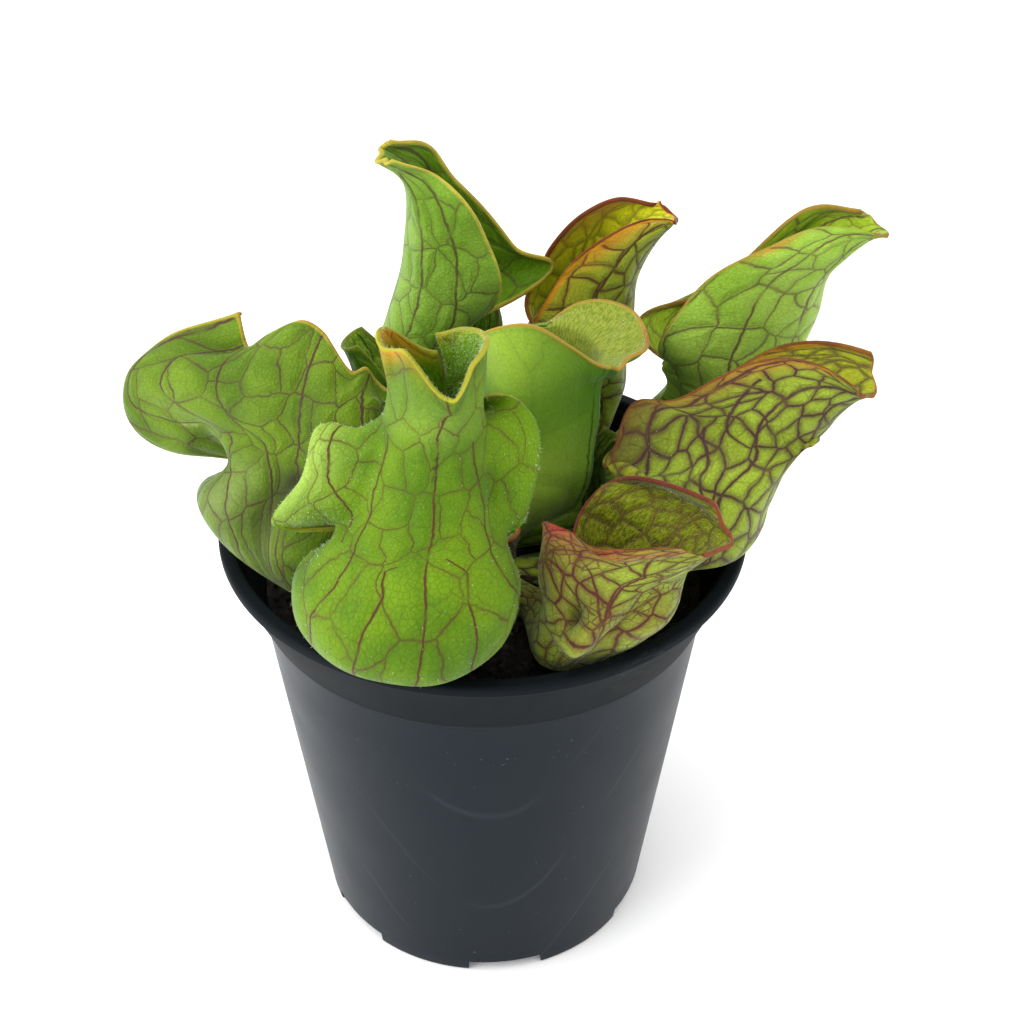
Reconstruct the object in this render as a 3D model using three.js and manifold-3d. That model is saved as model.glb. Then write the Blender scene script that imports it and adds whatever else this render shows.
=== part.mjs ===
// A purple pitcher plant in a black nursery pot. Millimetres, +Z up.
// The origin is the middle of the pot's base, on the surface that it stands on.
import * as THREE from "three";
import { mergeVertices } from "three/addons/utils/BufferGeometryUtils.js";
import Module from "manifold-3d";

const wasm = await Module();
wasm.setup();

const GAP = 0.35;

// Pot: a 13 cm nursery pot with a flared collar.
const RIM_RADIUS = 65;
const POT_HEIGHT = 120;
const RIM_WIDTH = 3.6;
const RIM_EDGE = 1.6;
const COLLAR_HEIGHT = 19.5;
const COLLAR_FOOT_RADIUS = 56.8;
const COLLAR_STEP = 0.9;
const BASE_RADIUS = 43;
const WALL = 1.2;
const FLOOR_HEIGHT = 3.6;
const FLOOR_THICKNESS = 1.6;
const FOOT_WIDTH = 2.8;
const FOOT_COUNT = 6;
const NOTCH_ANGLE = 27;
const NOTCH_TURN = -83;
const DRAIN_RADIUS = 4;
const DRAIN_RING = 32;
const CENTRE_PAD_RADIUS = 12;
const POT_SEGMENTS = 66;

// Soil, and the crown that every leaf grows from.
const SOIL_TOP = 101.4;
const SOIL_RELIEF = 0.7;
const SOIL_SEGMENTS = 32;
const CROWN_X = -1;
const CROWN_Y = 2;
const CROWN_RADIUS = 9.8;
const CROWN_TOP = 103.6;
const CROWN_LIP = 1.6;
const RHIZOME_RADIUS = 5;
const RHIZOME_BOTTOM = 74;
const ROOT_COUNT = 8;
const ROOT_RADIUS = 1;
const ROOT_REACH = 26;
const ROOT_DROP = 34;

// Leaves: the blade's thickness, and how finely its surface is divided.
const BLADE = 0.8;
const KEEL = 2.2;
const KEEL_START = 0.9;
const ROWS_PER_LEVEL = 2;
const COLUMNS = 15;
const YOUNG_COLUMNS = 11;
const FIRST_HOLLOW_ROW = 3;

const GREEN = 0x6f9a34;
const VEINED = 0x77803a;
const POT_COLOUR = 0x1d2128;
const SOIL_COLOUR = 0x1e1813;
const RHIZOME_COLOUR = 0x5a3c28;

const radians = THREE.MathUtils.degToRad;
const smooth = (value) => THREE.MathUtils.smoothstep(value, 0, 1);

// A level of a pitcher: the point of its back rib, the way that its back faces, the tilt of
// the section from the back towards the front, its half widths left and right, and its depth.
function ring(at, face, tip, wide, deep) {
  return rib(at, face, tip, wide, deep, {});
}

// Above the mouth a level is open at the front. It wraps round by an angle each side, and its
// margins flare sideways, lean back and rise. A single number stands for both sides.
function rib(at, face, tip, wide, deep, { wrap = 180, flare = 0, back = 0, rise = 0 }) {
  const pair = (value) => (Array.isArray(value) ? value : [value, value]);
  const sides = [wide, wrap, flare, back, rise].flatMap(pair);
  return [...at, face, tip, deep, ...sides];
}

const FIELDS = [
  "x", "y", "z", "face", "tip", "deep",
  "wideL", "wideR", "wrapL", "wrapR", "flareL", "flareR", "backL", "backR", "riseL", "riseR",
];

function catmullRom(a, b, c, d, f) {
  const linear = (c - a) * f;
  const square = (2 * a - 5 * b + 4 * c - d) * f * f;
  const cube = (3 * b - a - 3 * c + d) * f * f * f;
  return 0.5 * (2 * b + linear + square + cube);
}

// The fields of a level between two stated ones.
function levelAt(plant, u) {
  const levels = plant.levels;
  const last = levels.length - 1;
  const i = Math.min(Math.floor(u), last - 1);
  const result = {};
  FIELDS.forEach((name, k) => {
    const b = levels[i][k];
    const c = levels[i + 1][k];
    const a = i > 0 ? levels[i - 1][k] : 2 * b - c;
    const d = i + 2 <= last ? levels[i + 2][k] : 2 * c - b;
    result[name] = catmullRom(a, b, c, d, u - i);
  });
  return result;
}

// A point of the leaf's outer face: u runs from the stalk to the hood's top, and t from the
// left margin over the back rib, at 0, to the right margin.
function leafPoint(plant, u, t) {
  const s = levelAt(plant, u);
  const last = plant.levels.length - 1;
  const closed = u <= plant.mouth;
  const side = t < 0 ? "L" : "R";
  const sign = Math.sign(t);
  const away = Math.abs(t);
  const wrap = closed ? 180 : THREE.MathUtils.clamp(s["wrap" + side], 10, 180);
  const angle = radians(wrap) * away;
  const edge = smooth((away - plant.hinge) / (1 - plant.hinge));
  const open = closed ? 0 : edge;
  let lateral = sign * s["wide" + side] * Math.sin(angle) + sign * s["flare" + side] * open;
  let depth = (s.deep * (1 - Math.cos(angle))) / 2 - s["back" + side] * open;
  let rise = s["rise" + side] * open;
  let outward = 0;
  for (const lobe of plant.lobes) {
    const reach = smooth((u - last) / 1.5 + 1) * Math.exp(-(((t - lobe.at) / lobe.width) ** 2));
    rise += lobe.up * reach;
    outward += lobe.out * reach;
  }
  const mouthEdge = smooth((away - 0.5) / 0.5) * smooth((u - plant.mouth) / 0.8);
  const topEdge = smooth((u - last) / 0.8 + 1) * (1 - mouthEdge);
  const along = (u - plant.mouth) / Math.max(last - plant.mouth, 1);
  const { count, height, phase } = plant.wave;
  outward += height * mouthEdge * Math.sin(2 * Math.PI * count * along + phase + 1.5 * t);
  outward += height * topEdge * Math.sin(Math.PI * count * t + phase);
  lateral += outward * Math.sin(angle) * sign;
  depth -= outward * Math.cos(angle);
  if (closed) {
    const tube = smooth((u - 1) / 1.5);
    depth += KEEL * tube * smooth((away - KEEL_START) / (1 - KEEL_START));
  }
  const face = radians(s.face);
  const tip = radians(s.tip);
  const out = rise * Math.sin(tip) - depth * Math.cos(tip);
  return new THREE.Vector3(
    s.x + out * Math.cos(face) - lateral * Math.sin(face),
    s.y + out * Math.sin(face) + lateral * Math.cos(face),
    s.z + depth * Math.sin(tip) + rise * Math.cos(tip),
  );
}

// The outward normal, from points a little way along and across.
function leafNormal(plant, u, t) {
  const step = 0.02;
  const last = plant.levels.length - 1;
  const at = (du, dt) => leafPoint(
    plant, THREE.MathUtils.clamp(u + du, 0, last), THREE.MathUtils.clamp(t + dt, -1, 1),
  );
  const alongLeaf = at(step, 0).sub(at(-step, 0));
  const across = at(0, step).sub(at(0, -step));
  return across.cross(alongLeaf).normalize();
}

// Columns are even, with one more close to each margin for the keel and the rolled edge.
function columnPlaces(count) {
  const near = 0.93;
  const inner = Array.from({ length: count - 2 }, (_, j) => near * ((2 * j) / (count - 3) - 1));
  return [-1, ...inner, 1];
}

// One leaf as a closed solid: an outer and an inner face, joined round the margin, and a
// solid stalk. The rows below the mouth close on themselves.
function leafGeometry(plant, columns) {
  const levels = plant.levels.length;
  const rows = (levels - 1) * ROWS_PER_LEVEL + 1;
  const places = columnPlaces(columns);
  const vertices = [];
  const triangles = [];
  const index = new Map();
  const isClosed = (i) => i / ROWS_PER_LEVEL <= plant.mouth;

  function surfaceNormal(i, j) {
    const u = i / ROWS_PER_LEVEL;
    const normal = leafNormal(plant, u, places[j]);
    if (isClosed(i) && j === 0) normal.add(leafNormal(plant, u, 1)).normalize();
    return normal;
  }
  function vertex(layer, i, column) {
    const j = isClosed(i) && column === columns - 1 ? 0 : column;
    const key = `${layer} ${i} ${j}`;
    if (!index.has(key)) {
      const point = leafPoint(plant, i / ROWS_PER_LEVEL, places[j]);
      if (layer === "inner") point.addScaledVector(surfaceNormal(i, j), -BLADE);
      index.set(key, vertices.length);
      vertices.push(point);
    }
    return index.get(key);
  }
  function quad(a, b, c, d) {
    if (a !== b && b !== c && c !== a) triangles.push([a, b, c]);
    if (a !== c && c !== d && d !== a) triangles.push([a, c, d]);
  }
  function cap(layer, i, turned) {
    const ringVertices = Array.from({ length: columns - 1 }, (_, j) => vertex(layer, i, j));
    const middle = new THREE.Vector3();
    ringVertices.forEach((v) => middle.add(vertices[v]));
    const centre = vertices.push(middle.divideScalar(columns - 1)) - 1;
    ringVertices.forEach((v, j) => {
      const next = ringVertices[(j + 1) % ringVertices.length];
      triangles.push(turned ? [centre, v, next] : [centre, next, v]);
    });
  }

  for (let i = 0; i < rows - 1; i += 1) {
    for (let j = 0; j < columns - 1; j += 1) {
      const outer = (row, column) => vertex("outer", row, column);
      quad(outer(i, j), outer(i, j + 1), outer(i + 1, j + 1), outer(i + 1, j));
      if (i >= FIRST_HOLLOW_ROW) {
        const inner = (row, column) => vertex("inner", row, column);
        // Both faces are split along the same diagonal, so that a waved blade keeps its thickness.
        triangles.push([inner(i, j), inner(i + 1, j + 1), inner(i, j + 1)]);
        triangles.push([inner(i, j), inner(i + 1, j), inner(i + 1, j + 1)]);
      }
    }
    if (isClosed(i) && isClosed(i + 1)) continue;
    const end = columns - 1;
    quad(vertex("outer", i, 0), vertex("outer", i + 1, 0), vertex("inner", i + 1, 0), vertex("inner", i, 0));
    quad(
      vertex("outer", i + 1, end), vertex("outer", i, end),
      vertex("inner", i, end), vertex("inner", i + 1, end),
    );
  }
  const top = rows - 1;
  for (let j = 0; j < columns - 1; j += 1) {
    quad(vertex("outer", top, j), vertex("outer", top, j + 1), vertex("inner", top, j + 1), vertex("inner", top, j));
  }
  cap("outer", 0, false);
  cap("inner", FIRST_HOLLOW_ROW, true);

  const geometry = new THREE.BufferGeometry();
  geometry.setAttribute("position", new THREE.Float32BufferAttribute(vertices.flatMap((v) => v.toArray()), 3));
  geometry.setIndex(triangles.flat());
  geometry.computeVertexNormals();
  return geometry;
}

function toSolid(geometry) {
  const bare = geometry.clone();
  bare.deleteAttribute("normal");
  bare.deleteAttribute("uv");
  const merged = mergeVertices(bare, 1e-4);
  return new wasm.Manifold(new wasm.Mesh({
    numProp: 3,
    vertProperties: new Float32Array(merged.attributes.position.array),
    triVerts: new Uint32Array(merged.index.array),
  }));
}

function toGeometry(solid) {
  const mesh = solid.getMesh();
  const geometry = new THREE.BufferGeometry();
  geometry.setAttribute("position", new THREE.BufferAttribute(mesh.vertProperties, 3));
  geometry.setIndex(new THREE.BufferAttribute(mesh.triVerts, 1));
  geometry.computeVertexNormals();
  return geometry;
}

function lathe(profile, segments) {
  const points = profile.map(([r, z]) => new THREE.Vector2(r, z));
  return new THREE.LatheGeometry(points, segments).rotateX(Math.PI / 2);
}

// The pot's outer wall between the base and the collar.
const COLLAR_BOTTOM = POT_HEIGHT - COLLAR_HEIGHT;
const bodyRadius = (z) => THREE.MathUtils.mapLinear(
  z, 0, COLLAR_BOTTOM, BASE_RADIUS, COLLAR_FOOT_RADIUS - COLLAR_STEP,
);
const COLLAR_TOP_RADIUS = RIM_RADIUS - 0.8;
const RIM_BOTTOM = POT_HEIGHT - 2 * RIM_EDGE;

function potGeometry() {
  const innerRim = RIM_RADIUS - RIM_WIDTH;
  const floorTop = FLOOR_HEIGHT + FLOOR_THICKNESS;
  const profile = [
    [0, 0],
    [CENTRE_PAD_RADIUS, 0],
    [CENTRE_PAD_RADIUS + 1, FLOOR_HEIGHT],
    [BASE_RADIUS - FOOT_WIDTH, FLOOR_HEIGHT],
    [BASE_RADIUS - FOOT_WIDTH, 0],
    [BASE_RADIUS, 0],
    [bodyRadius(COLLAR_BOTTOM - 1), COLLAR_BOTTOM - 1],
    [COLLAR_FOOT_RADIUS, COLLAR_BOTTOM],
    [COLLAR_FOOT_RADIUS + 0.4, COLLAR_BOTTOM + 1.2],
    [COLLAR_TOP_RADIUS - 0.4, RIM_BOTTOM],
    [RIM_RADIUS, RIM_BOTTOM + 0.6],
    [RIM_RADIUS, POT_HEIGHT - 0.4],
    [RIM_RADIUS - 0.8, POT_HEIGHT],
    [innerRim, POT_HEIGHT],
    [innerRim - 0.6, POT_HEIGHT - RIM_EDGE],
    [COLLAR_FOOT_RADIUS - WALL, COLLAR_BOTTOM + 1.2],
    [bodyRadius(COLLAR_BOTTOM - 1) - WALL, COLLAR_BOTTOM - 1],
    [bodyRadius(floorTop) - WALL, floorTop],
    [0, floorTop],
  ];
  let pot = toSolid(lathe(profile, POT_SEGMENTS));
  for (let k = 0; k < FOOT_COUNT; k += 1) {
    const turn = radians(NOTCH_TURN + (360 * k) / FOOT_COUNT);
    pot = pot.subtract(toSolid(notchGeometry().rotateZ(turn)));
    const drain = new THREE.CylinderGeometry(DRAIN_RADIUS, DRAIN_RADIUS, 4 * FLOOR_HEIGHT, 12);
    drain.rotateX(Math.PI / 2).translate(DRAIN_RING, 0, 0).rotateZ(turn);
    pot = pot.subtract(toSolid(drain));
  }
  return toGeometry(pot);
}

// A wedge, square to the radius, that parts two feet of the pot.
function notchGeometry() {
  const inner = BASE_RADIUS - FOOT_WIDTH - 2;
  const outer = BASE_RADIUS + 6;
  const half = radians(NOTCH_ANGLE / 2);
  const shape = new THREE.Shape();
  shape.moveTo(inner * Math.cos(half), -inner * Math.sin(half));
  shape.lineTo(outer * Math.cos(half), -outer * Math.sin(half));
  shape.lineTo(outer * 1.06, 0);
  shape.lineTo(outer * Math.cos(half), outer * Math.sin(half));
  shape.lineTo(inner * Math.cos(half), inner * Math.sin(half));
  shape.closePath();
  const depth = FLOOR_HEIGHT + 1;
  return new THREE.ExtrudeGeometry(shape, { depth, bevelEnabled: false }).translate(0, 0, -1);
}

// The crown, the short rootstock under it and its roots, a little larger for the hole in the
// soil that they sit in.
function rhizomeSolid(grow) {
  const top = CROWN_TOP + (grow > 0 ? 6 : 0);
  const profile = [
    [0, RHIZOME_BOTTOM - grow],
    [RHIZOME_RADIUS * 0.6 + grow, RHIZOME_BOTTOM - grow],
    [RHIZOME_RADIUS + grow, RHIZOME_BOTTOM + 8],
    [RHIZOME_RADIUS * 0.85 + grow, RHIZOME_BOTTOM + 15],
    [CROWN_RADIUS * 0.85 + grow, CROWN_TOP - 8],
    [CROWN_RADIUS + grow, CROWN_TOP - 4],
    [CROWN_RADIUS + grow, top],
    [CROWN_RADIUS - CROWN_LIP + grow, top + CROWN_LIP / 2],
    [0, top],
  ];
  let solid = toSolid(lathe(profile, 14));
  for (let k = 0; k < ROOT_COUNT; k += 1) {
    const root = rootGeometry(grow).rotateZ((2 * Math.PI * (k + 0.2 * (k % 2))) / ROOT_COUNT);
    solid = solid.add(toSolid(root));
  }
  return solid.translate([CROWN_X, CROWN_Y, 0]);
}

function rootGeometry(grow) {
  const radius = ROOT_RADIUS + 1.2 * grow;
  const start = RHIZOME_BOTTOM + 11;
  const path = new THREE.CatmullRomCurve3([
    new THREE.Vector3(RHIZOME_RADIUS * 0.3, 0, start),
    new THREE.Vector3(ROOT_REACH * 0.45, 2, start - ROOT_DROP * 0.2),
    new THREE.Vector3(ROOT_REACH * 0.8, -1, start - ROOT_DROP * 0.55),
    new THREE.Vector3(ROOT_REACH + grow, 1, start - ROOT_DROP - grow),
  ]);
  const outline = Array.from({ length: 6 }, (_, k) => new THREE.Vector2(
    radius * Math.cos((Math.PI * k) / 3), radius * Math.sin((Math.PI * k) / 3),
  ));
  return new THREE.ExtrudeGeometry(new THREE.Shape(outline), { steps: 8, extrudePath: path });
}

function soilGeometry() {
  const bottom = FLOOR_HEIGHT + FLOOR_THICKNESS + GAP;
  const wallRadius = (z) => bodyRadius(z) - WALL - 1.3 * GAP;
  const edge = COLLAR_FOOT_RADIUS - WALL - 2.5 * GAP;
  const profile = [
    [0, bottom],
    [wallRadius(bottom), bottom],
    [wallRadius(COLLAR_BOTTOM - 1), COLLAR_BOTTOM - 1],
    [edge, SOIL_TOP - 0.4],
    [edge * 0.8, SOIL_TOP],
    [edge * 0.6, SOIL_TOP],
    [edge * 0.4, SOIL_TOP],
    [edge * 0.2, SOIL_TOP],
    [0, SOIL_TOP],
  ];
  const geometry = lathe(profile, SOIL_SEGMENTS);
  const place = geometry.attributes.position;
  for (let i = 0; i < place.count; i += 1) {
    const x = place.getX(i);
    const y = place.getY(i);
    const lumps = 0.5 + 0.5 * Math.sin(0.23 * x + 1) * Math.cos(0.31 * y - 0.4);
    if (place.getZ(i) > SOIL_TOP - 0.1) place.setZ(i, SOIL_TOP - SOIL_RELIEF * lumps);
  }
  return toGeometry(toSolid(geometry).subtract(rhizomeSolid(GAP)));
}

function leaf(name, mouth, hinge, wave, lobes, levels) {
  return { name, mouth, hinge, wave, lobes, levels };
}

const frontPitcher = leaf(
  "pitcher_front", 7, 0.42, { count: 2, height: 0.4, phase: 0 },
  [
    { at: 0, width: 0.19, up: -10, out: 0 },
    { at: -0.42, width: 0.15, up: -2.8, out: 0 },
    { at: -0.2, width: 0.1, up: 3.2, out: 0 },
    { at: -0.72, width: 0.15, up: 1, out: 0 },
    { at: -1, width: 0.16, up: -3.5, out: 0 },
    { at: 0.75, width: 0.18, up: 1.6, out: 0 },
    { at: 0.95, width: 0.3, up: -1, out: 0 },
  ],
  [
    ring([-6, -7, 103], -110, 80, 2.5, 5),
    ring([-8, -22, 102], -100, 80, 6, 10),
    ring([-11, -38, 104], -98, 68, 17, 26),
    ring([-15, -49, 116.5], -97, 43, [24, 22], 26),
    ring([-16.5, -63.5, 122], -96, 25, [26, 22], 36),
    ring([-17, -74, 130], -96, 13, [27, 22], 43),
    ring([-16, -73, 143], -96, -2, [27, 22], 39),
    ring([-14, -65, 154], -96, -18, [21, 18], 28),
    rib([-11, -61, 161], -96, -15, [18, 13], 28,
      { wrap: 145, flare: [23, 8], back: [14, 10], rise: [-6, -4] }),
    rib([-10, -58, 168], -96, -10, [16, 11], 25,
      { wrap: 145, flare: [19, 13], back: [12, 9], rise: [-3, 0] }),
    rib([-9, -56, 174], -96, -4, [14.5, 9.5], 22,
      { wrap: 150, flare: [18, 13], back: [9, 8], rise: [2, 5] }),
    rib([-8.5, -55.5, 178], -96, 0, [14, 8.5], 20,
      { wrap: 160, flare: [12, 8], back: [5, 6], rise: [-8, 5] }),
    rib([-8, -55, 181], -96, 0, [14, 7.5], 20, { wrap: [168, 176], flare: [0, -2], rise: [-9, -6] }),
    rib([-6, -55, 188], -96, 0, [15, 5.5], 19,
      { wrap: [168, 178], flare: [1.3, -3.8], rise: [-3, -2] }),
    rib([-6, -57, 200.5], -96, 0, [16, 6.5], 20,
      { wrap: [170, 178], flare: [2.9, -6], rise: [-7, -6] }),
  ],
);

const leftPitcher = leaf(
  "pitcher_left", 6, 0.5, { count: 3, height: 0.8, phase: 0 },
  [
    { at: -0.6, width: 0.2, up: -8, out: 0 },
    { at: -0.12, width: 0.15, up: 4, out: 0 },
    { at: 0.22, width: 0.12, up: -6, out: 0 },
    { at: 0.55, width: 0.2, up: -11, out: 0 },
  ],
  [
    ring([-11.2, 0.4, 103], -166, 80, 2.5, 5),
    ring([-24, -4, 103], -155, 80, 6, 10),
    ring([-37, -13, 107], -140, 62, [15, 12], 22),
    ring([-46, -25, 115], -128, 45, [23, 14], 30),
    ring([-51, -30, 128], -120, 15, [26, 16], 31),
    ring([-50, -29, 139], -116, -15, [24, 18], 28),
    ring([-45, -23, 147], -114, -35, [20, 16], 24),
    rib([-42, -19, 151], -112, -20, [33, 17], 20, { wrap: [95, 130], rise: [-10, -6] }),
    rib([-41, -18, 155], -112, -12, [48, 17], 14, { wrap: [95, 130], rise: [-12, -8] }),
    rib([-40, -18, 161], -112, -5, [49, 16], 10, { wrap: [95, 130], rise: [-2, -9] }),
    rib([-38, -16, 169], -112, 0, [40, 15], 10, { wrap: [95, 120], rise: [-1, -12] }),
    rib([-35, -14, 178], -112, 5, [25, 14], 10, { wrap: [95, 110], rise: [-1, -20] }),
  ],
);

const rightPitcher = leaf(
  "pitcher_right", 6, 0.5, { count: 2, height: 0.7, phase: 1 }, [],
  [
    ring([7.4, -3.9, 103], -28, 80, 2.5, 5),
    ring([24, -8, 102], -16, 80, 6, 10),
    ring([38, -11, 105], -17, 60, [12, 10], 20),
    ring([50, -14, 116], -18, 50, [17, 12], 28),
    ring([65, -16, 124], -18, 22, [21, 13], 36),
    ring([68, -15, 133], -18, 5, [21, 10], 36),
    ring([71, -14, 142], -18, 0, [18, 8], 38),
    rib([76, -12, 148], -18, 0, [16, 7], 54, { wrap: [130, 120], rise: [-7, -16] }),
    rib([81, -7, 149], -18, 8, [15, 7], 60, { wrap: [120, 110], rise: [0, -18] }),
    rib([84, -7, 154], -18, 15, [13, 7], 50, { wrap: [115, 105], rise: [-5, -15] }),
    rib([88, -6, 157], -18, 30, [10, 9], 34, { wrap: [110, 105], rise: [2, -7] }),
    rib([91, -6, 158], -18, 50, [6, 8], 10, { wrap: 105, rise: [0, 2] }),
  ],
);

const rightBackPitcher = leaf(
  "pitcher_right_back", 6, 0.5, { count: 2, height: 0.7, phase: 2 }, [],
  [
    ring([7.6, 8, 103], 28, 80, 2.5, 5),
    ring([23, 14, 102], 20, 80, 5, 9),
    ring([37, 20, 105], 20, 60, [9, 10], 18),
    ring([47, 24, 116], 18, 52, [12, 11], 16),
    ring([62, 27, 126], 15, 40, [13, 12], 20),
    ring([73, 26, 140], 10, 15, [12, 15], 28),
    ring([78, 25, 151], 8, -2, [12, 15], 32),
    rib([82, 25, 163], 5, 0, [12, 16], 44, { wrap: [140, 130], back: [0, -6], rise: [0, -8] }),
    rib([83.5, 24, 174], 5, 8, [12, 14], 41, { wrap: [125, 110], rise: [0, -18] }),
    rib([87.5, 23, 181], 5, 18, 12, 33, { wrap: [115, 105], rise: [0, -19] }),
    rib([92, 22, 185], 5, 22, [8, 9], 23, { wrap: [115, 105], rise: [0, -4] }),
    rib([95, 21, 186], 5, 30, [5, 6], 10, { wrap: 105 }),
  ],
);

const backLeftPitcher = leaf(
  "pitcher_back_left", 6, 0.5, { count: 3, height: 0.8, phase: 0.5 }, [],
  [
    ring([-8.8, 8.8, 103], 134, 80, 2.5, 5),
    ring([-16, 18, 102], 135, 80, 6, 10),
    ring([-24, 25, 106], 150, 58, 13, 18),
    ring([-30, 28, 118], 163, 30, 15, 22),
    ring([-31, 29, 132], 172, 5, 15, 22),
    ring([-28, 30, 146], 178, -10, 13, 19),
    ring([-24, 30, 157], 182, -10, 12, 18),
    rib([-21, 30, 167], 185, -5, 13, 27, { wrap: [120, 140], back: [-20, 0] }),
    rib([-19, 29, 178], 185, 5, 13, 27, { wrap: [110, 125], back: [-9, 0], rise: [-10, 0] }),
    rib([-18, 28, 188], 185, 15, 11, 22, { wrap: [105, 115], rise: [-2, 0] }),
    rib([-19, 27, 197], 185, 25, 8, 14, { wrap: [100, 110], rise: [1, 0] }),
    rib([-24, 26, 203], 185, 35, 5, 8, { wrap: 90 }),
  ],
);

const backPitcher = leaf(
  "pitcher_back", 6, 0.5, { count: 2, height: 0.6, phase: 1.5 }, [],
  [
    ring([1.7, 12, 103], 72, 80, 2.5, 5),
    ring([8, 24, 102], 65, 80, 6, 9),
    ring([18, 36, 105], 55, 60, 11, 16),
    ring([29, 45, 115], 40, 35, [11, 14], 20),
    ring([35, 47, 129], 30, 10, [12, 15], 23),
    ring([36, 46, 142], 22, -5, 15, 26),
    ring([37.5, 44, 153], 18, -5, 14, 26),
    rib([38.5, 42, 163], 15, 0, 13, 31, { wrap: [140, 120], rise: [-2, -4] }),
    rib([40, 40, 170], 15, 12, 12, 29, { wrap: [125, 110], rise: [0, -6] }),
    rib([42, 38, 176], 15, 25, 11, 24, { wrap: [115, 105], rise: [0, -4] }),
    rib([44.5, 37, 180], 15, 35, 9, 16, { wrap: [110, 105], rise: [0, -3] }),
    rib([47, 36, 182], 15, 40, 6, 8, { wrap: 100, rise: [0, -2] }),
  ],
);

const middlePitcher = leaf(
  "pitcher_middle", 8, 0.5, { count: 0, height: 0, phase: 0 },
  [
    { at: 0.5, width: 0.25, up: 8, out: 0 },
    { at: 0.68, width: 0.15, up: 4, out: 0 },
    { at: 0, width: 0.3, up: -8, out: 0 },
    { at: -0.28, width: 0.14, up: -6, out: 0 },
    { at: -0.62, width: 0.22, up: -4, out: 8 },
    { at: -0.85, width: 0.12, up: -5, out: 4 },
    { at: 1, width: 0.12, up: -6, out: 0 },
    { at: -1, width: 0.08, up: -5, out: 0 },
  ],
  [
    ring([4.6, 0.3, 104.7], 150, 60, 2.5, 4),
    ring([4, 4, 109], 148, 30, 6, 9),
    ring([3, 8, 120], 146, 8, 11, 20),
    ring([2, 9, 133], 146, 0, 14, 26),
    ring([2, 9, 146], 146, -3, 14.5, 27),
    ring([2, 9, 154], 146, -3, 14.5, 28),
    ring([2, 9, 161], 146, -2, 15, 28),
    ring([2, 9, 166], 146, 0, 15.5, 29),
    ring([1, 10, 171], 146, 5, 17, 32),
  ],
);

const frontRightPitcher = leaf(
  "pitcher_front_right", 6, 0.5, { count: 2, height: 0.6, phase: 0 }, [],
  [
    ring([3.5, -7.4, 103], -58, 80, 2.4, 5),
    ring([13, -20, 102], -50, 80, 5, 8),
    ring([23, -34, 104], -48, 70, [14, 8], 15),
    ring([31, -41, 109], -45, 50, [20, 9], 21),
    ring([37, -45.5, 118], -40, 25, [20.5, 10], 24),
    ring([40.5, -48, 126], -38, 5, [23, 10], 25),
    ring([43, -48, 131], -36, 0, [22, 10], 28),
    rib([45, -46, 137], -34, 5, [18, 11], 34, { wrap: [150, 140], rise: [4, 2] }),
    rib([48, -46, 140], -34, 12, [16, 13], 36, { wrap: 125, rise: [0, -1] }),
    rib([51, -46, 142.5], -34, 20, [14, 11], 30, { wrap: [110, 115], rise: [-6, -1] }),
    rib([54, -46, 144], -34, 25, [8, 5], 14, { wrap: [100, 110], rise: [-2, 3] }),
  ],
);

// A young pitcher: its way out from the crown and up, half width, depth, tilt and wrap.
const YOUNG_LEVELS = [
  { out: 0, up: 0, wide: 2, deep: 4, tip: 80 },
  { out: 9, up: 0, wide: 3.5, deep: 6, tip: 72 },
  { out: 17, up: 4, wide: 6, deep: 10, tip: 50 },
  { out: 22, up: 13, wide: 7.5, deep: 13, tip: 22 },
  { out: 23, up: 23, wide: 7.5, deep: 13, tip: 0 },
  { out: 22, up: 33, wide: 7, deep: 12, tip: -8 },
  { out: 22, up: 38, wide: 8, deep: 17, tip: 0, wrap: 140 },
  { out: 23, up: 43, wide: 9, deep: 17, tip: 10, wrap: 120 },
  { out: 25, up: 48, wide: 7, deep: 12, tip: 25, wrap: 105 },
];
const YOUNG_START = 103;

function youngPitcher({ name, x, y, face, reach, height, girth }) {
  const levels = YOUNG_LEVELS.map((level) => rib(
    [
      x + level.out * reach * Math.cos(radians(face)),
      y + level.out * reach * Math.sin(radians(face)),
      YOUNG_START + level.up * height,
    ],
    face, level.tip, level.wide * girth, level.deep * girth, { wrap: level.wrap },
  ));
  return leaf(name, 5, 0.5, { count: 1, height: 0.3, phase: 0 }, [], levels);
}

const youngPitchers = [
  { name: "young_left", x: -11.2, y: 4.6, face: 176, reach: 0.87, height: 1.3, girth: 0.62 },
  { name: "young_back", x: -3.2, y: 12.2, face: 88, reach: 1.58, height: 1.05, girth: 0.8 },
  { name: "young_right", x: 9.3, y: 2, face: 13.5, reach: 0.98, height: 0.7, girth: 0.36 },
  { name: "young_front", x: -0.7, y: -8.4, face: -75, reach: 0.84, height: 0.62, girth: 0.6 },
].map(youngPitcher);

const pitchers = [
  frontPitcher, leftPitcher, rightPitcher, rightBackPitcher,
  backLeftPitcher, backPitcher, middlePitcher, frontRightPitcher,
];

function material(color, roughness) {
  return new THREE.MeshStandardMaterial({ color, roughness, metalness: 0 });
}

function mesh(name, geometry, finish) {
  const part = new THREE.Mesh(geometry, finish);
  part.name = name;
  return part;
}

const group = new THREE.Group();
group.add(mesh("pot", potGeometry(), material(POT_COLOUR, 0.5)));
group.add(mesh("soil", soilGeometry(), material(SOIL_COLOUR, 1)));
group.add(mesh("rhizome", toGeometry(rhizomeSolid(0)), material(RHIZOME_COLOUR, 0.9)));

const veined = ["pitcher_right", "pitcher_back", "pitcher_front_right"];
for (const plant of pitchers) {
  const colour = veined.includes(plant.name) ? VEINED : GREEN;
  group.add(mesh(plant.name, leafGeometry(plant, COLUMNS), material(colour, 0.55)));
}
for (const plant of youngPitchers) {
  group.add(mesh(plant.name, leafGeometry(plant, YOUNG_COLUMNS), material(GREEN, 0.55)));
}

export default group;
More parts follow.
